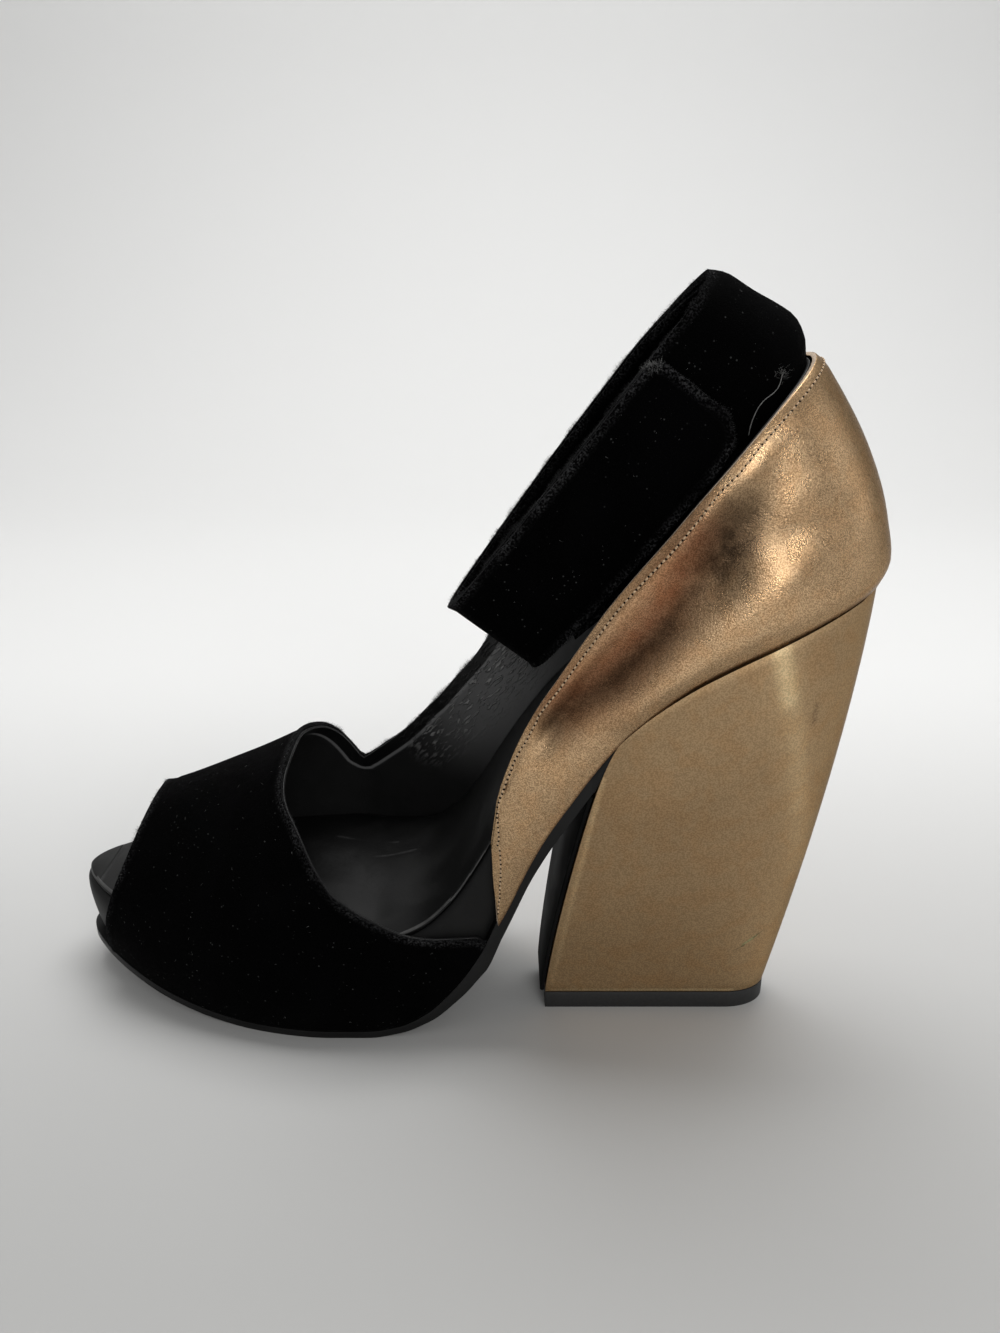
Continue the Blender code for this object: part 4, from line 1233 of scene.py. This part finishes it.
def scatter(piece, wanted, count):
    """Random places on those faces of a piece that have one material number, with their normals."""
    mesh = piece.data
    mesh.calc_loop_triangles()
    verts = np.array([vert.co for vert in mesh.vertices])
    tris = np.array([tri.vertices for tri in mesh.loop_triangles if tri.material_index == wanted])
    a, b, c = np.moveaxis(verts[tris], 1, 0)
    cross = np.cross(b - a, c - a)
    area = np.linalg.norm(cross, axis=1)
    picked = RNG.choice(len(tris), size=count, p=area / area.sum())
    u, v = RNG.random((2, count, 1))
    flip = u + v > 1
    u, v = np.where(flip, 1 - u, u), np.where(flip, 1 - v, v)
    points = a[picked] + u * (b - a)[picked] + v * (c - a)[picked]
    return points / MM + CENTRE, cross[picked] / area[picked][:, None]


def fibres(name, points, ways, lengths, width, material, slot):
    """Fine tapered fibres, each a slim closed spike, as one joined mesh."""
    helper = np.where(np.abs(ways[:, 2:3]) < NEAR_UPRIGHT, [[0.0, 0.0, 1.0]], [[1.0, 0.0, 0.0]])
    across = unit(np.cross(ways, helper))
    second = np.cross(ways, across)
    corners = []
    for turn in np.radians((0.0, 120.0, 240.0)):
        corners.append(points + 0.5 * width * (across * np.cos(turn) + second * np.sin(turn)))
    corners.append(points + ways * lengths[:, None])
    verts = np.stack(corners, axis=1).reshape(-1, 3)
    one = np.array([(0, 2, 1), (0, 1, 3), (1, 2, 3), (2, 0, 3)])
    array_piece(name, verts, copies(one, len(points), len(corners)), material, slot)


def make_fuzz(piece, name, slot, count, length):
    """Loose pile standing up along the folded rims of a velvet piece."""
    points, normals = scatter(piece, RIM_FACE, count)
    ways = unit(normals + RNG.normal(0.0, FUZZ_LEAN, normals.shape))
    clumps = np.sin(points @ RNG.normal(0.0, CLUMP_PITCH, (3, 3))).sum(axis=1)
    grown = np.clip(CLUMP_MEAN + CLUMP_SWING * clumps, *CLUMP_RANGE)
    lengths = length * RNG.uniform(FUZZ_SHORTEST, 1.0, count) * grown
    fibres(name, points, ways, lengths, FIBRE_WIDTH, FUZZ, slot)


def make_lint(piece, name, slot, count):
    """Scattered bits of lint lying on a velvet piece."""
    points, normals = scatter(piece, OUTER_FACE, count)
    ways = unit(np.cross(normals, RNG.normal(0.0, 1.0, normals.shape)) + LINT_RISE * normals)
    lengths = LINT_SHORTEST + LINT_SPREAD * RNG.random(count) ** LINT_RARITY
    fibres(name, points + LINT_LIFT * normals, ways, lengths, FIBRE_WIDTH, LINT, slot)


# A loose thread lying on the strap and three tufts of lint, as places of the part
LOOSE_THREAD = [
    (74.2, -26.2, 169.4), (73.4, -27.0, 166.1), (69.7, -28.0, 163.8), (67.9, -28.7, 159.8),
    (67.5, -28.9, 156.9),
]
LINT_TUFTS = [(74.2, -26.2, 169.4), (44.8, -31.1, 171.2), (46.4, -32.0, 171.5)]
TUFT_FIBRES = 80
TUFT_SPREAD = 0.7
TUFT_LEAN = 1.2
TUFT_LENGTHS = (0.6, 1.8)
TUFT_WIDTH = 0.06
THREAD_SIDES = 5
THREAD_LIFT = 0.3
THREAD_RADIUS = 0.11
THREAD_ROUNDS = 4
CORNER_CUT = 0.25


def make_loose_thread(strap):
    """A loose thread with small tufts of lint, caught in the strap's pile."""
    path = np.array(LOOSE_THREAD) + CENTRE
    for _ in range(THREAD_ROUNDS):
        near = (1 - CORNER_CUT) * path[:-1] + CORNER_CUT * path[1:]
        far = CORNER_CUT * path[:-1] + (1 - CORNER_CUT) * path[1:]
        cuts = np.stack([near, far], axis=1).reshape(-1, 3)
        path = np.concatenate([path[:1], cuts, path[-1:]])
    places, ways = on_surface(strap, path)
    line = places + THREAD_LIFT * ways
    verts = rings(line, ways, [(0.0, 1.0, 0.0)], THREAD_SIDES, 0.0, THREAD_RADIUS)
    array_piece("loose_thread", verts, tube_faces(len(line), THREAD_SIDES), LINT, "strap_velvet")
    spots = np.repeat(np.array(LINT_TUFTS) + CENTRE, TUFT_FIBRES, axis=0)
    places, ways = on_surface(strap, spots + RNG.normal(0.0, TUFT_SPREAD, spots.shape))
    leans = unit(ways + RNG.normal(0.0, TUFT_LEAN, ways.shape))
    lengths = RNG.uniform(*TUFT_LENGTHS, len(places))
    fibres("lint_tufts", places, leans, lengths, TUFT_WIDTH, LINT, "strap_velvet")


# The stage and its lights, in metres and watts
STAGE_REACH = 5.0
STAGE_STEPS = 12
WALL_Y = 1.1
WALL_TOP = 2.4
WALL_BEND = 0.5
SHOE_MIDDLE = (0.05, 0.0, 0.12)
Light = namedtuple("Light", "name place target size power")
LIGHTS = [
    Light("window_front", (0.35, -1.0, 0.45), SHOE_MIDDLE, (0.5, 0.36), 3.6),
    Light("window_side", (1.2, -0.2, 0.4), SHOE_MIDDLE, (0.6, 0.6), 0.8),
    Light("ceiling_soft", (0.05, 0.3, 1.15), (0.0, 0.0, 0.0), (0.9, 0.6), 10.0),
    Light("wall_wash", (0.3, 0.3, 1.9), (0.3, 1.1, 0.9), (2.0, 0.5), 9.0),
]
ROOM_LOW = 0.34
ROOM_HIGH = 0.46
ROOM_BLEND = 0.8


def make_stage():
    """A pale floor that sweeps up into a pale wall behind the shoe, with painted shade in front of the shoe
    and painted light behind it and far in front.
    """
    profile = [(-STAGE_REACH, 0.0)]
    for angle in np.linspace(0.0, np.pi / 2, STAGE_STEPS + 1):
        y = WALL_Y - WALL_BEND + WALL_BEND * math.sin(angle)
        profile.append((y, WALL_BEND - WALL_BEND * math.cos(angle)))
    profile.append((WALL_Y, WALL_TOP))
    verts = [(x, y, z) for y, z in profile for x in (-STAGE_REACH, STAGE_REACH)]
    faces = [(2 * i, 2 * i + 1, 2 * i + 3, 2 * i + 2) for i in range(len(profile) - 1)]
    mesh = bpy.data.meshes.new("studio_floor")
    mesh.from_pydata(verts, [], faces)
    mesh.shade_smooth()
    look = Look("studio_floor_paint", (0.6, 0.6, 0.59), 0.7)
    # Painted shade on the floor in front of the shoe, paler behind it and far in front as painted light
    far = look.vector("DOT_PRODUCT", look.place, (0.0, 1.0, 0.0), "Value")
    floor_shade_and_light = look.mix(look.step(far, -0.15, 0.25), (0.36, 0.359, 0.352), (0.68, 0.68, 0.673))
    front = look.times(look.step(far, -0.1, -0.35), look.step(far, -0.9, -0.6, 0.6, 1.0))
    look.set("Base Color", look.mix(front, floor_shade_and_light, (0.84, 0.838, 0.83)))
    mesh.materials.append(look.material)
    floor = add_object("studio_floor", mesh)


def make_lights():
    """A bright room, paler above, with windows in front and at the side, a soft ceiling and a lit wall."""
    world = bpy.data.worlds.new("studio_world")
    bpy.context.scene.world = world
    world.use_nodes = True
    room = Nodes(world.node_tree)
    height = room.add("SeparateXYZ", {0: room.add("TexCoord", {})["Generated"]})["Z"]
    blend = {"Value": height, "From Max": ROOM_BLEND, "To Min": ROOM_LOW, "To Max": ROOM_HIGH}
    background = room.tree.nodes["Background"].inputs
    room.feed(background["Strength"], room.add("MapRange", blend)["Result"])
    room.feed(background["Color"], grey(1.0))
    for light in LIGHTS:
        data = bpy.data.lights.new(light.name, "AREA")
        data.shape = "RECTANGLE"
        data.size, data.size_y = light.size
        data.energy = light.power
        lamp = add_object(light.name, data)
        lamp.location = light.place
        way = Vector(light.target) - Vector(light.place)
        lamp.rotation_euler = way.to_track_quat("-Z", "Y").to_euler()


# The camera stands about where the photograph's stood, fitted to the shoe's outlines with an assumed lens
CAMERA_PLACE = (0.014, -0.248, 0.188)
CAMERA_PITCH = 21.1
CAMERA_LENS = 27.0
SENSOR_HEIGHT = 36.0
CAMERA_NEAR = 0.01


def make_camera():
    data = bpy.data.cameras.new("photo_camera")
    data.sensor_fit = "VERTICAL"
    data.sensor_height = SENSOR_HEIGHT
    data.lens = CAMERA_LENS
    data.clip_start = CAMERA_NEAR
    camera = add_object("photo_camera", data)
    camera.location = CAMERA_PLACE
    camera.rotation_euler = (math.radians(90.0 - CAMERA_PITCH), 0.0, 0.0)
    bpy.context.scene.camera = camera


make_camera()
make_stage()
make_lights()
make_outsole()
make_platform()
make_insole()
upper = make_upper()
counter = make_counter()
make_stitches(counter)
make_heel()
make_breast()
make_top_piece()
strap = make_strap()
make_fuzz(upper, "upper_fuzz", "velvet", count=14000, length=1.2)
make_fuzz(strap, "strap_fuzz", "strap_velvet", count=12000, length=1.0)
make_lint(upper, "upper_lint", "velvet", count=420)
make_lint(strap, "strap_lint", "strap_velvet", count=160)
make_loose_thread(strap)

bpy.context.scene.view_settings.view_transform = "Standard"
